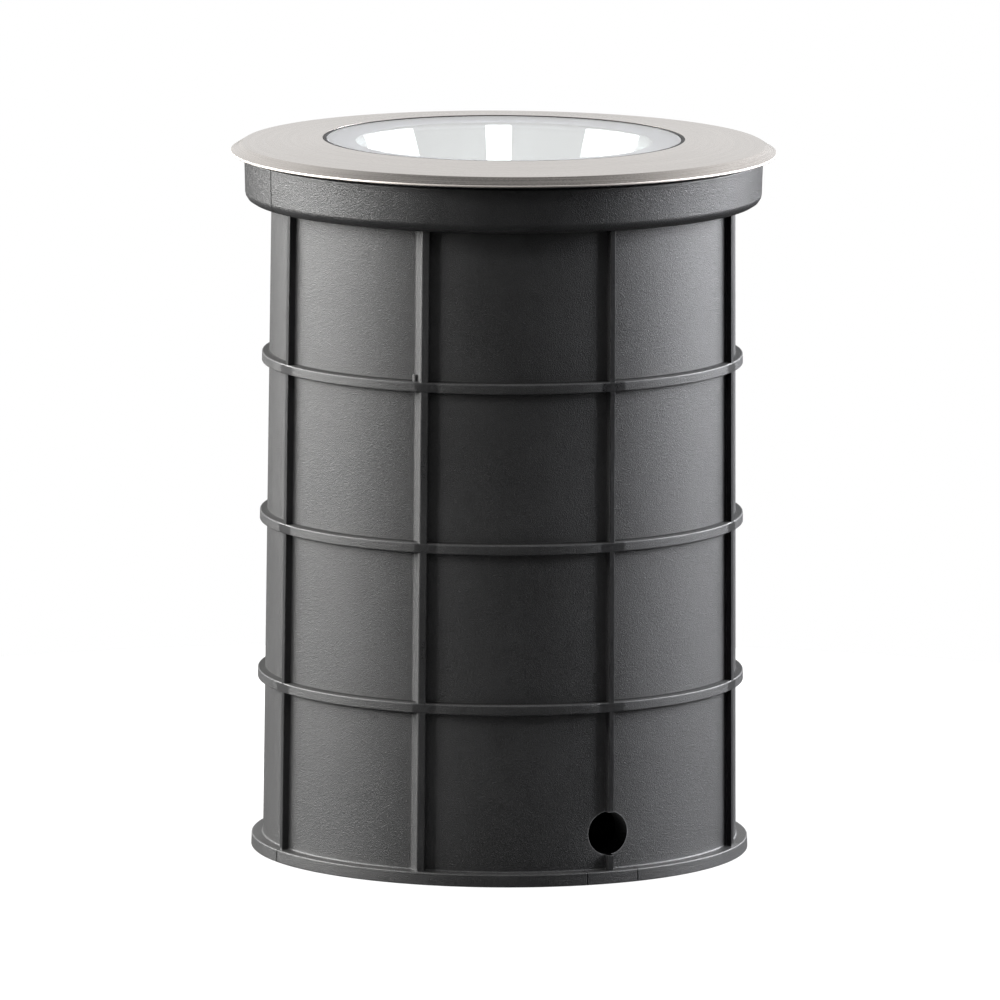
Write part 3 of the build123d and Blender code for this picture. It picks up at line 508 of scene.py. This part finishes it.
def polypropylene():
    """Black polypropylene: grained panels, polished rib faces, drag marks, scuffs, parting lines and painted
    shade.
    """
    material, tree, shader = finish("black polypropylene")
    skin = uses(tree, grain, Size=0.38, Depth=1.0)
    face = mark(tree, "face")
    # painted shade: the sleeve's inner side and the corners by the hoops and on the collar, as one mask
    painted_shade = math(tree, "MAXIMUM", mark(tree, "painted_shade"), mark(tree, "painted_crevice_shade"))
    where = spot(tree)
    place = put(tree, "SeparateXYZ", where).outputs

    # the collar's right side is scuffed; elsewhere there is a trace of dust
    scuffed = math(tree, "MULTIPLY", ramp(tree, place["X"], 0.070, 0.105), ramp(
        tree, place["Z"], 0.308, 0.316))
    marks = uses(tree, dust, Lying=0.05, Smears=ramp(tree, scuffed, 0.0, 1.0, 0.02, 0.60))["Mask"]
    marks = math(tree, "MULTIPLY", marks, math(tree, "SUBTRACT", 1.0, painted_shade))

    # the cable hole's bore is painted black and without gloss as painted shade, and a pale burr runs round
    # its edge
    to_hole = put(tree, "CombineXYZ", place["X"], math(tree, "SUBTRACT", place["Z"], hole_z * mm), 0.0)
    to_hole = put(tree, "VectorMath", to_hole.outputs[0], settings={"operation": "LENGTH"}).outputs["Value"]
    bore_shade = ramp(tree, to_hole, (hole_r + 0.02) * mm, (hole_r + 0.08) * mm, 1.0, 0.0)
    burr = math(tree, "MULTIPLY", ramp(tree, to_hole, (hole_r + 0.04) * mm, (hole_r + 0.12) * mm), ramp(
        tree, to_hole, (hole_r + 0.30) * mm, (hole_r + 0.45) * mm, 1.0, 0.0))

    # the mould's lines: halves meet on the collar's sides, and an insert ends beside the cable hole
    parting = ramp(tree, math(tree, "ABSOLUTE", place["Y"]), 0.25 * mm, 0.6 * mm, 1.0, 0.0)
    on_collar = math(tree, "GREATER_THAN", math(tree, "ABSOLUTE", place["X"]), collar_side * mm)
    parting = math(tree, "MULTIPLY", parting, on_collar)
    insert = math(tree, "ABSOLUTE", math(
        tree, "SUBTRACT", math(tree, "ABSOLUTE", place["X"]), insert_edge * mm))
    insert = math(tree, "MULTIPLY", ramp(tree, insert, 0.15 * mm, 0.40 * mm, 1.0, 0.0), math(
        tree, "LESS_THAN", place["Z"], (foot_height + 0.1) * mm))
    parting = math(tree, "MAXIMUM", parting, insert)
    # the bore's painted shade goes with the mould's lines: both turn black and without gloss
    seams_and_bore_shade = math(tree, "MAXIMUM", parting, bore_shade)
    tree.links.new(seams_and_bore_shade, shader.inputs["Metallic"])

    drag = put(tree, "TexNoise", Vector=put(tree, "Mapping", Vector=where, Scale=(260, 260, 9)).outputs[0],
               Scale=1.0, Detail=4.0)
    rough = math(tree, "SUBTRACT", ramp(tree, face, 0.1, 1.0, 0.40, 0.25), ramp(
        tree, place["Z"], 0.3105, 0.3125, 0.0, 0.11))
    for amount, share in ((skin["Cloud"], 0.04), (drag.outputs[0], 0.05), (skin["Speck"], 0.12),
                          (marks, 0.3)):
        rough = math(tree, "ADD", rough, math(tree, "MULTIPLY", amount, share))
    tree.links.new(mix(tree, painted_shade, rough, grey(1.0)), shader.inputs["Roughness"])

    colour = mix(tree, skin["Cloud"], (0.0028, 0.0028, 0.003, 1), (0.0045, 0.0045, 0.0048, 1))
    colour = mix(tree, math(tree, "MULTIPLY", skin["Speck"], 0.6), colour, (0.026, 0.026, 0.027, 1))
    colour = mix(tree, marks, colour, (0.32, 0.31, 0.29, 1))
    colour = mix(tree, math(tree, "MULTIPLY", burr, 0.7), colour, (0.07, 0.07, 0.072, 1))
    # the mould's lines are black; the bore, the inner side and the hoops' corners are black as painted shade
    seams_and_painted_shade = math(tree, "MAXIMUM", seams_and_bore_shade, painted_shade)
    tree.links.new(mix(tree, seams_and_painted_shade, colour, (0.002, 0.002, 0.002, 1)), shader.inputs["Base Color"])
    height = math(tree, "MULTIPLY", skin["Height"], ramp(tree, face, 0.1, 1.0, 1.0, 0.2))
    height = math(tree, "SUBTRACT", height, math(tree, "MULTIPLY", parting, 2.0))
    bump(tree, shader, height, 0.19)
    return material


dressed(canister, polypropylene(), "canister", "canister", "canister")


# ---------------------------------------------------------------- trim ring
# The only part seen once the light is in the ground: a ring turned from marine stainless steel, a
# shallow cone with a bevelled, turned-down rim. The lathe's fine lines run round it.
ring_outline = [(125.46, 333.9, 0.2), (129.99, 333.9, 0.4), (129.99, 334.9, 0.4), (124.39, 338.4, 0.5),
                (86.2, 341.1, 0.35), (86.2, 338.1, 0.2), (122.89, 335.5, 0.3)]
ring_steps = 288


def turned_rings(outline, steps):
    """A ring of points about the upright axis for each (radius, height) of an outline."""
    return [[Vector((r * sin(2 * pi * k / steps), -r * cos(2 * pi * k / steps), z)) for k in range(steps)]
            for r, z in outline]


def lathed(form, outline, steps):
    """Turns a closed section about the upright axis."""
    loops_to_faces(form, turned_rings(outline, steps))


# turned lines: the fine grooves that a tool or a brush leaves round a turned piece
lines, given, result = effect("turned lines", {"Pitch": 0.3}, ("Height", "Streak"))
where = put(lines, "SeparateXYZ", put(lines, "TexCoord").outputs["Object"]).outputs
out = math(lines, "SQRT", math(lines, "ADD", math(lines, "POWER", where["X"], 2.0), math(
    lines, "POWER", where["Y"], 2.0)))
round_turn = math(lines, "ARCTAN2", where["Y"], where["X"])
across = math(lines, "DIVIDE", math(lines, "MULTIPLY", out, 1000.0), given["Pitch"])
along = put(lines, "CombineXYZ", across, math(lines, "MULTIPLY", round_turn, 2.0), math(
    lines, "MULTIPLY", where["Z"], 900.0))
groove = put(lines, "TexNoise", Vector=along.outputs[0], Scale=1.0, Detail=2.0)
lines.links.new(groove.outputs[0], result["Height"])
broad = put(lines, "TexNoise", Vector=put(lines, "CombineXYZ", math(lines, "MULTIPLY", across, 0.12), math(
    lines, "MULTIPLY", round_turn, 1.3), 0.0).outputs[0], Scale=1.0, Detail=3.0)
lines.links.new(ramp(lines, broad.outputs[0], 0.3, 0.7), result["Streak"])


def steel(name, colour, pitch, roughness, depth=0.004, soft_below=None):
    """Stainless steel as it comes off the lathe. Below a height it can be duller, as a broken edge is."""
    material, tree, shader = finish(name)
    turning = uses(tree, lines, Pitch=pitch)
    marks = uses(tree, dust, Lying=0.04, Smears=0.05)["Mask"]
    shader.inputs["Metallic"].default_value = 1.0
    darker = tuple(c * 0.93 for c in colour) + (1,)
    skin = mix(tree, turning["Streak"], darker, colour + (1,))
    tree.links.new(mix(tree, marks, skin, (0.42, 0.40, 0.37, 1)), shader.inputs["Base Color"])
    rough = ramp(tree, turning["Height"], 0.3, 0.7, roughness - 0.04, roughness + 0.05)
    rough = math(tree, "ADD", rough, math(tree, "MULTIPLY", marks, 0.4))
    if soft_below:
        height = put(tree, "SeparateXYZ", spot(tree)).outputs["Z"]
        softer = ramp(tree, height, soft_below * mm, (soft_below + 0.3) * mm, 0.30, 0.0)
        rough = math(tree, "ADD", rough, softer)
    tree.links.new(rough, shader.inputs["Roughness"])
    bump(tree, shader, turning["Height"], depth)
    return material


form = bmesh.new()
lathed(form, rounded(ring_outline, 5), ring_steps)
settle(form)
ring = smoothed(as_object("stainless_ring", form), 30)
ring_steel = steel("brushed stainless steel", (0.505, 0.472, 0.444), pitch=0.30, roughness=0.26,
                   depth=0.0015, soft_below=334.8)
dressed(ring, ring_steel, "cover", "trim_steel", "trim_ring")


# ---------------------------------------------------------------- glass and its print
# A stepped disc of toughened glass. A pale grey ceramic border is fired on its underside, which
# hides the gasket's foot and the reflector's rim.
glass_foot_r, glass_r, glass_bottom, glass_step, glass_top = 92.5, 84.6, 328.8, 334.8, 340.8
glass_outline = [(0, glass_bottom, 0), (glass_foot_r, glass_bottom, 0.5), (glass_foot_r, glass_step, 0.5),
                 (glass_r, glass_step, 0.6), (glass_r, glass_top, 0.6), (0, glass_top, 0)]
print_inner_r, print_outer_r, print_z, print_thick = 70.6, 91.8, 328.84, 0.06
glass_steps = 192


def lathed_disc(form, outline, steps, bottom, top):
    """Turns an open section into a solid disc, closed by flat fans at its poles."""
    rings = [[form.verts.new(point * mm) for point in ring] for ring in turned_rings(outline, steps)]
    for low, high in zip(rings, rings[1:]):
        for k in range(steps):
            form.faces.new((low[k], low[(k + 1) % steps], high[(k + 1) % steps], high[k]))
    for ring, height in ((rings[0], bottom), (rings[-1], top)):
        pole = form.verts.new((0, 0, height * mm))
        for k in range(steps):
            form.faces.new((ring[k], ring[(k + 1) % steps], pole))


form = bmesh.new()
lathed_disc(form, rounded(glass_outline)[1:-1], glass_steps, glass_bottom, glass_top)
settle(form)
glass = smoothed(as_object("glass_disc", form), 30)


def toughened_glass():
    """Clear glass with a trace of green and a few wiped smears."""
    material, tree, shader = finish("toughened glass")
    shader.inputs["Transmission Weight"].default_value = 1.0
    shader.inputs["IOR"].default_value = 1.5
    strokes = put(tree, "Mapping", Vector=spot(tree), Scale=(9, 30, 9))
    wiped = put(tree, "TexNoise", Vector=strokes.outputs[0], Scale=1.0, Detail=5.0)
    tree.links.new(ramp(tree, wiped.outputs[0], 0.45, 0.8, 0.0, 0.05), shader.inputs["Roughness"])
    tree.links.new(mix(tree, wiped.outputs[0], (0.955, 0.985, 0.975, 1), (0.935, 0.975, 0.965, 1)),
                   shader.inputs["Base Color"])
    return material


dressed(glass, toughened_glass(), "cover", "glass", "glass")

form = bmesh.new()
lathed(form, [(print_inner_r, print_z), (print_outer_r, print_z), (print_outer_r, print_z + print_thick),
              (print_inner_r, print_z + print_thick)], glass_steps)
settle(form)
border = smoothed(as_object("printed_border", form), 30)


def fired_print():
    material, tree, shader = finish("fired grey print")
    skin = uses(tree, grain, Size=0.4, Depth=1.0)
    shade = mix(tree, skin["Cloud"], (0.30, 0.30, 0.335, 1), (0.335, 0.335, 0.365, 1))
    tree.links.new(mix(tree, math(tree, "MULTIPLY", skin["Speck"], 0.3), shade, (0.26, 0.26, 0.295, 1)),
                   shader.inputs["Base Color"])
    shader.inputs["Roughness"].default_value = 0.6
    bump(tree, shader, skin["Height"], 0.02)
    return material


dressed(border, fired_print(), "cover", "glass")


# ---------------------------------------------------------------- glass gasket
# Black silicone channel, moulded as a ring. It wraps the glass's foot, and its lip stands between
# glass and ring as the thin black line.
gasket_outline = [(83.5, 327.0, 0.4), (94.3, 327.0, 0.5), (94.3, 337.5, 0.3), (86.2, 338.08, 0.1),
                  (86.25, 341.0, 0.5), (glass_r, 341.0, 0.5), (glass_r, glass_step, 0),
                  (glass_foot_r, glass_step, 0), (glass_foot_r, glass_bottom, 0), (83.5, glass_bottom, 0.3)]


def rubber(name, colour, size=0.3, sheen=0.5):
    """Moulded rubber or silicone: dull, with a faint bloom."""
    material, tree, shader = finish(name)
    shader.inputs["Specular IOR Level"].default_value = sheen
    skin = uses(tree, grain, Size=size, Depth=1.0)
    marks = uses(tree, dust, Lying=0.08, Smears=0.10)["Mask"]
    bloom = tuple(c * 1.6 + 0.004 for c in colour) + (1,)
    shade = mix(tree, skin["Cloud"], colour + (1,), bloom)
    tree.links.new(mix(tree, marks, shade, (0.25, 0.24, 0.23, 1)), shader.inputs["Base Color"])
    tree.links.new(ramp(tree, skin["Speck"], 0.0, 1.0, 0.5, 0.66), shader.inputs["Roughness"])
    bump(tree, shader, skin["Height"], 0.05)
    return material


form = bmesh.new()
lathed(form, rounded(gasket_outline), glass_steps)
settle(form)
gasket = smoothed(as_object("silicone_channel", form), 35)
black_silicone = rubber("black silicone", (0.004, 0.004, 0.0045), sheen=0.12)
dressed(gasket, black_silicone, "cover", "gasket_rubber", "glass_gasket")


# ---------------------------------------------------------------- reflector
# Pressed from bright aluminium: flat facets round a deep bowl, each polished along its length. A
# flat rim lies in the housing's pocket under the glass.
facet_count, facet_steps = 36, 24
mouth_r, cup_foot_r, cup_z, cup_depth = 73.2, 14.0, 245.4, 83.2
cup_hem_r, cup_rim_r, cup_rim_z, cup_thick = 75.4, 80.5, 326.4, 1.0


def new_tree(name, sizes):
    """Starts a geometry tree whose inputs are named sizes, and gives its inputs and its output."""
    group = bpy.data.node_groups.new(name, "GeometryNodeTree")
    group.interface.new_socket("Geometry", in_out="OUTPUT", socket_type="NodeSocketGeometry")
    for title, value in sizes.items():
        kind = {int: "NodeSocketInt", float: "NodeSocketFloat"}.get(type(value), "NodeSocketObject")
        if value == "material":
            kind = "NodeSocketMaterial"
        socket = group.interface.new_socket(title, in_out="INPUT", socket_type=kind)
        if kind in ("NodeSocketInt", "NodeSocketFloat"):
            socket.default_value = value
    return group, group.nodes.new("NodeGroupInput").outputs, group.nodes.new("NodeGroupOutput").inputs


def grown(name, group, **values):
    """A plain mesh object, grown by a geometry tree with the given sizes."""
    made = as_object(name, bmesh.new())
    modifier = made.modifiers.new("shape", "NODES")
    modifier.node_group = group
    for item in group.interface.items_tree:
        if item.in_out == "INPUT" and item.name in values:
            modifier[item.identifier] = values[item.name]
    return flattened(made)


def facet_tree():
    """A bowl of equal flat facets: one strip bent to the bowl's curve, placed round the axis."""
    group, size, out = new_tree("faceted bowl", {
        "Facets": 36, "Steps": 24, "MouthRadius": 0.07, "FootRadius": 0.014, "Depth": 0.08,
        "FootHeight": 0.24, "Material": "material"})
    strip = put(group, "GeometryNodeMeshGrid", 1.0, 1.0, 2, size["Steps"])
    at = put(group, "SeparateXYZ", put(group, "GeometryNodeInputPosition").outputs[0])
    share = math(group, "ADD", at.outputs["Y"], 0.5)
    foot2 = math(group, "POWER", size["FootRadius"], 2.0)
    reach = math(group, "SUBTRACT", math(group, "POWER", size["MouthRadius"], 2.0), foot2)
    corner = math(group, "SQRT", math(group, "ADD", foot2, math(group, "MULTIPLY", reach, share)))
    half = math(group, "DIVIDE", pi, size["Facets"])
    middle = math(group, "MULTIPLY", corner, math(group, "COSINE", half))
    width = math(group, "MULTIPLY", math(group, "MULTIPLY", corner, math(group, "SINE", half)), 2.0)
    height = math(group, "ADD", size["FootHeight"], math(group, "MULTIPLY", size["Depth"], share))
    place = put(group, "CombineXYZ", middle, math(group, "MULTIPLY", at.outputs["X"], width), height)
    bent = put(group, "GeometryNodeSetPosition", Geometry=strip.outputs[0], Position=place.outputs[0])
    points = put(group, "GeometryNodeMeshLine", Count=size["Facets"], Offset=(0.0, 0.0, 0.0))
    twice = math(group, "MULTIPLY", put(group, "GeometryNodeInputIndex").outputs[0], 2.0)
    turn = math(group, "MULTIPLY", math(group, "ADD", twice, 1.0), half)
    turned = put(group, "CombineXYZ", 0.0, 0.0, turn)
    copies = put(group, "GeometryNodeInstanceOnPoints", Points=points.outputs[0], Instance=bent.outputs[0],
                 Rotation=turned.outputs[0])
    whole = put(group, "GeometryNodeRealizeInstances", copies.outputs[0])
    joined = put(group, "GeometryNodeMergeByDistance", Geometry=whole.outputs[0], Distance=0.02 * mm)
    last = put(group, "GeometryNodeSetMaterial", Geometry=joined.outputs[0], Material=size["Material"])
    group.links.new(last.outputs[0], out[0])
    return group


def bright_aluminium():
    """Anodised reflector sheet: nearly a mirror, a little blue, with faint draw marks."""
    material, tree, shader = finish("bright aluminium")
    shader.inputs["Metallic"].default_value = 1.0
    drawn_out = put(tree, "Mapping", Vector=spot(tree), Scale=(500, 500, 25))
    draw = put(tree, "TexNoise", Vector=drawn_out.outputs[0], Scale=1.0, Detail=2.0)
    tree.links.new(mix(tree, draw.outputs[0], (0.57, 0.595, 0.61, 1), (0.62, 0.645, 0.66, 1)),
                   shader.inputs["Base Color"])
    tree.links.new(ramp(tree, draw.outputs[0], 0.3, 0.7, 0.07, 0.14), shader.inputs["Roughness"])
    bump(tree, shader, draw.outputs[0], 0.004)
    return material


aluminium = bright_aluminium()
bowl = grown("reflector_bowl", facet_tree(), Facets=facet_count, Steps=facet_steps, MouthRadius=mouth_r * mm,
             FootRadius=cup_foot_r * mm, Depth=cup_depth * mm, FootHeight=cup_z * mm, Material=aluminium)
form = bmesh.new()
form.from_mesh(bowl.data)
bmesh.ops.recalc_face_normals(form, faces=form.faces)
inward = sum((face.normal.xy.dot(face.calc_center_median().xy) for face in form.faces), 0.0)
if inward > 0:
    bmesh.ops.reverse_faces(form, faces=form.faces)
half_way = (cup_z + cup_depth / 2) * mm
mouth = [edge for edge in form.edges if edge.is_boundary and edge.verts[0].co.z > half_way]
for reach in (cup_hem_r, cup_rim_r):
    grown_out = bmesh.ops.extrude_edge_only(form, edges=mouth)["geom"]
    mouth = [part for part in grown_out if isinstance(part, bmesh.types.BMEdge) and part.is_boundary]
    for vert in (part for part in grown_out if isinstance(part, bmesh.types.BMVert)):
        vert.co.xy = vert.co.xy.normalized() * reach * mm
        vert.co.z = cup_rim_z * mm
form.to_mesh(bowl.data)
form.free()
sheet = bowl.modifiers.new("sheet", "SOLIDIFY")
sheet.thickness, sheet.offset = cup_thick * mm, -1
flattened(bowl)
smoothed(bowl, 4)
dressed(bowl, aluminium, "lamp_unit", "reflector_alloy", "reflector")


# ---------------------------------------------------------------- screws
# Stainless socket screws and nuts, rolled threads. All are stock sizes; each ring of them is one
# screw repeated round the light's axis, in the places where the CAD has its plain ones.
thread_pitches = {2.45: 0.8, 1.95: 0.7, 1.45: 0.5}


def cap_screw(name, shank_r, head_r, head, length):
    """A screw whose head stands on z = 0 and whose threaded shank goes up, in millimetres."""
    form = bmesh.new()
    pitch = thread_pitches[shank_r]
    sides = 24
    core = shank_r - 0.55 * pitch
    rows = int(length / pitch * 4)

    def ring_at(z, radius):
        """A ring of points at a height. Its radius is asked for at each share of a turn."""
        return [form.verts.new(Vector((radius(k / sides) * cos(2 * pi * k / sides), radius(
            k / sides) * sin(2 * pi * k / sides), z)) * mm) for k in range(sides)]

    def threaded(z):
        """The thread's radius round the shank at a height. It fades out at both ends."""
        fade = min(1.0, z / pitch, (length - z) / pitch)
        return lambda share: core + (shank_r - core) * (1 - abs(2 * ((z / pitch + share) % 1.0) - 1)) * fade

    rings = [ring_at(length * i / rows, threaded(length * i / rows)) for i in range(rows + 1)]
    socket_r, socket_depth, corner = shank_r * 0.69, head * 0.5, head * 0.2
    for r, z in ((head_r - 0.15, 0), (head_r, -0.15), (head_r, corner - head), (head_r - corner, -head)):
        rings.insert(0, ring_at(z, lambda share: r))
    for z in (-head, socket_depth - head):
        rings.insert(0, ring_at(z, lambda share: hex_r(share, socket_r)))
    for low, high in zip(rings, rings[1:]):
        for k in range(sides):
            form.faces.new((low[k], low[(k + 1) % sides], high[(k + 1) % sides], high[k]))
    form.faces.new(rings[0])
    form.faces.new(rings[-1])
    settle(form, 0.001)
    return as_object(name, form)


def hex_r(share, corner_r):
    """Radius of a hexagon's side at a share of a full turn."""
    turn = (share * 2 * pi + pi / 6) % (pi / 3) - pi / 6
    return corner_r * cos(pi / 6) / cos(turn)


def ring_of_screws():
    """Copies of one screw evenly round a circle, standing up or hanging."""
    group, size, out = new_tree("ring of screws", {
        "Screw": None, "Count": 8, "CircleRadius": 0.1, "FirstTurn": 0.0, "Height": 0.0, "Flip": 0.0,
        "Material": "material"})
    one = put(group, "GeometryNodeObjectInfo", size["Screw"])
    points = put(group, "GeometryNodeMeshLine", Count=size["Count"])
    index = put(group, "GeometryNodeInputIndex").outputs[0]
    turn = math(group, "ADD", size["FirstTurn"], math(group, "DIVIDE", math(
        group, "MULTIPLY", index, 2 * pi), size["Count"]))
    place = put(group, "CombineXYZ", math(group, "MULTIPLY", math(
        group, "COSINE", turn), size["CircleRadius"]), math(group, "MULTIPLY", math(
            group, "SINE", turn), size["CircleRadius"]), size["Height"])
    spread = put(group, "GeometryNodeSetPosition", Geometry=points.outputs[0], Position=place.outputs[0])
    # no two screws stop at the same turn
    driven = math(group, "MULTIPLY", index, 2.4)
    turned = put(group, "CombineXYZ", size["Flip"], 0.0, driven)
    copies = put(group, "GeometryNodeInstanceOnPoints", Points=spread.outputs[0],
                 Instance=one.outputs["Geometry"], Rotation=turned.outputs[0])
    whole = put(group, "GeometryNodeRealizeInstances", copies.outputs[0])
    last = put(group, "GeometryNodeSetMaterial", Geometry=whole.outputs[0], Material=size["Material"])
    group.links.new(last.outputs[0], out[0])
    return group


screw_tree = ring_of_screws()
screw_steel = steel("screw steel", (0.56, 0.55, 0.53), pitch=0.15, roughness=0.34)


def screws(name, node, count, circle_r, first, z, sizes, hanging=False):
    """Replaces a node of plain screws by the same number of real ones, of cap_screw's sizes."""
    one = cap_screw(name + "_one", *sizes)
    made = grown(name, screw_tree, Screw=one, Count=count, CircleRadius=circle_r * mm,
                 FirstTurn=radians(first), Height=z * mm, Flip=pi if hanging else 0.0, Material=screw_steel)
    bpy.data.objects.remove(one)
    smoothed(made, 32)
    dressed(made, screw_steel, "lamp_unit", "screw_steel", node)


screws("cover_cap_screws", "cover_screws", 8, 101.5, -67.5, 315.3, (2.45, 4.25, 5.0, 18.2))
screws("gear_cover_cap_screws", "gear_cover_screws", 6, 77.5, 30, 133.4, (1.95, 3.5, 4.0, 17.0))
screws("reflector_cap_screws", "reflector_screws", 3, 77.4, 90, 326.4, (1.45, 2.6, 1.7, 4.0), hanging=True)
screws("plate_cap_screws", "plate_screws", 4, 38.0, 45, 240.4, (1.95, 3.6, 2.6, 9.0), hanging=True)


# ---------------------------------------------------------------- lamp housing and gear cover
# Die-cast aluminium with cooling fins, bare inside and out apart from its dull cast skin. The
# gear cover is the same casting metal, bolted on over a flat seal.
def cast_alloy(name, colour):
    """Dull cast aluminium: fine pits, cloudy oxide and brighter rubbed patches."""
    material, tree, shader = finish(name)
    skin = uses(tree, grain, Size=1.1, Depth=1.0)
    marks = uses(tree, dust, Lying=0.15, Smears=0.15)["Mask"]
    shader.inputs["Metallic"].default_value = 0.85
    light = tuple(min(c * 1.25, 1) for c in colour) + (1,)
    shade = mix(tree, skin["Cloud"], colour + (1,), light)
    shade = mix(tree, math(tree, "MULTIPLY", skin["Speck"], 0.25), shade, (0.16, 0.16, 0.165, 1))
    tree.links.new(mix(tree, marks, shade, (0.30, 0.29, 0.27, 1)), shader.inputs["Base Color"])
    tree.links.new(ramp(tree, skin["Cloud"], 0.0, 1.0, 0.56, 0.44), shader.inputs["Roughness"])
    bump(tree, shader, skin["Height"], 0.16)
    return material


def repaint(material, *names):
    """Gives CAD nodes whose shape is right their finish."""
    for name in names:
        nodes[name].data.materials.clear()
        nodes[name].data.materials.append(material)


repaint(cast_alloy("cast housing alloy", (0.19, 0.193, 0.198)), "housing")
repaint(cast_alloy("cast cover alloy", (0.17, 0.173, 0.178)), "gear_cover")
repaint(rubber("grey seal rubber", (0.030, 0.030, 0.032)), "gear_cover_seal")
repaint(steel("welded boss steel", (0.52, 0.51, 0.48), pitch=0.3, roughness=0.38), "trim_bosses")


# ---------------------------------------------------------------- light source
# A chip-on-board LED under a moulded holder, on a milled aluminium spreader.
def milled_alloy():
    material, tree, shader = finish("milled alloy")
    turning = uses(tree, lines, Pitch=0.5)
    shader.inputs["Metallic"].default_value = 1.0
    tree.links.new(mix(tree, turning["Streak"], (0.60, 0.60, 0.61, 1), (0.69, 0.69, 0.70, 1)),
                   shader.inputs["Base Color"])
    tree.links.new(ramp(tree, turning["Height"], 0.3, 0.7, 0.28, 0.42), shader.inputs["Roughness"])
    bump(tree, shader, turning["Height"], 0.01)
    return material


def light_source():
    """White ceramic board; the round emitter is silicone with yellow phosphor."""
    material, tree, shader = finish("phosphor and ceramic")
    place = put(tree, "SeparateXYZ", spot(tree)).outputs
    out = math(tree, "SQRT", math(tree, "ADD", math(tree, "POWER", place["X"], 2.0), math(
        tree, "POWER", place["Y"], 2.0)))
    skin = uses(tree, grain, Size=0.5, Depth=1.0)
    emitter = ramp(tree, out, 8.6 * mm, 9.0 * mm, 1.0, 0.0)
    board = mix(tree, skin["Speck"], (0.78, 0.78, 0.76, 1), (0.72, 0.72, 0.70, 1))
    phosphor = mix(tree, skin["Cloud"], (0.86, 0.62, 0.10, 1), (0.90, 0.70, 0.16, 1))
    tree.links.new(mix(tree, emitter, board, phosphor), shader.inputs["Base Color"])
    rough = math(tree, "SUBTRACT", 0.5, math(tree, "MULTIPLY", emitter, 0.2))
    tree.links.new(rough, shader.inputs["Roughness"])
    bump(tree, shader, skin["Height"], 0.03)
    return material


def plastic(name, colour, roughness=0.45, size=0.5):
    """Moulded technical plastic with a fine tool grain."""
    material, tree, shader = finish(name)
    skin = uses(tree, grain, Size=size, Depth=1.0)
    marks = uses(tree, dust, Lying=0.10, Smears=0.06)["Mask"]
    other = tuple(c * 0.9 for c in colour) + (1,)
    shade = mix(tree, skin["Cloud"], colour + (1,), other)
    tree.links.new(mix(tree, marks, shade, (0.30, 0.29, 0.27, 1)), shader.inputs["Base Color"])
    rough = ramp(tree, skin["Speck"], 0.0, 1.0, roughness, roughness + 0.12)
    tree.links.new(rough, shader.inputs["Roughness"])
    bump(tree, shader, skin["Height"], 0.04)
    return material


repaint(milled_alloy(), "led_plate")
repaint(light_source(), "led_cob")
repaint(plastic("white holder plastic", (0.74, 0.74, 0.72), roughness=0.35), "led_holder")
repaint(rubber("clear silicone bush", (0.55, 0.54, 0.52)), "lead_bush")
repaint(screw_steel, "holder_screws")


# ---------------------------------------------------------------- gear
# A potted driver, a nylon terminal block and silicone leads, all screwed up to the lamp floor.
def two_colour_lead(name, first, second, axis, parted_at):
    """Insulated leads: the first colour below a place along an axis, the second above it."""
    material, tree, shader = finish(name)
    skin = uses(tree, grain, Size=0.35, Depth=1.0)
    side = math(tree, "GREATER_THAN", put(tree, "SeparateXYZ", spot(tree)).outputs[axis], parted_at)
    shade = mix(tree, side, first + (1,), second + (1,))
    tree.links.new(mix(tree, math(tree, "MULTIPLY", skin["Cloud"], 0.25), shade, (0.10, 0.10, 0.10, 1)),
                   shader.inputs["Base Color"])
    tree.links.new(ramp(tree, skin["Speck"], 0.0, 1.0, 0.36, 0.5), shader.inputs["Roughness"])
    bump(tree, shader, skin["Height"], 0.02)
    return material


repaint(plastic("potted driver case", (0.66, 0.66, 0.64), roughness=0.42), "driver")
repaint(plastic("nylon", (0.66, 0.64, 0.58), roughness=0.38), "terminal_block")
repaint(screw_steel, "driver_screws", "terminal_screw", "earth_screw", "clip_screws")
black, red = (0.02, 0.02, 0.022), (0.46, 0.03, 0.025)
brown, pale_brown = (0.14, 0.055, 0.025), (0.17, 0.07, 0.03)
green, yellow = (0.05, 0.26, 0.06), (0.55, 0.46, 0.04)
repaint(two_colour_lead("red and black leads", black, red, "Y", 0.0), "led_leads")
repaint(two_colour_lead("brown lead", brown, pale_brown, "X", 0.0), "input_leads")
repaint(two_colour_lead("green and yellow lead", green, yellow, "Z", 0.19), "earth_lead")
repaint(steel("tinned brass tag", (0.66, 0.62, 0.50), pitch=0.3, roughness=0.30), "earth_tag")


# ---------------------------------------------------------------- gland, vent and springs
# A nickel-plated cable gland and a breather in the gear cover, and three leaf springs that centre
# the unit in the canister.
nickel = steel("nickel plate", (0.60, 0.58, 0.52), pitch=0.25, roughness=0.24)
repaint(nickel, "gland_body", "gland_locknut", "gland_nut")
repaint(rubber("gland rubber", (0.012, 0.012, 0.013)), "gland_seal")
repaint(plastic("black breather plastic", (0.022, 0.022, 0.024), roughness=0.5), "vent_plug")
repaint(steel("spring steel", (0.50, 0.49, 0.47), pitch=0.4, roughness=0.28), "spring_clips")
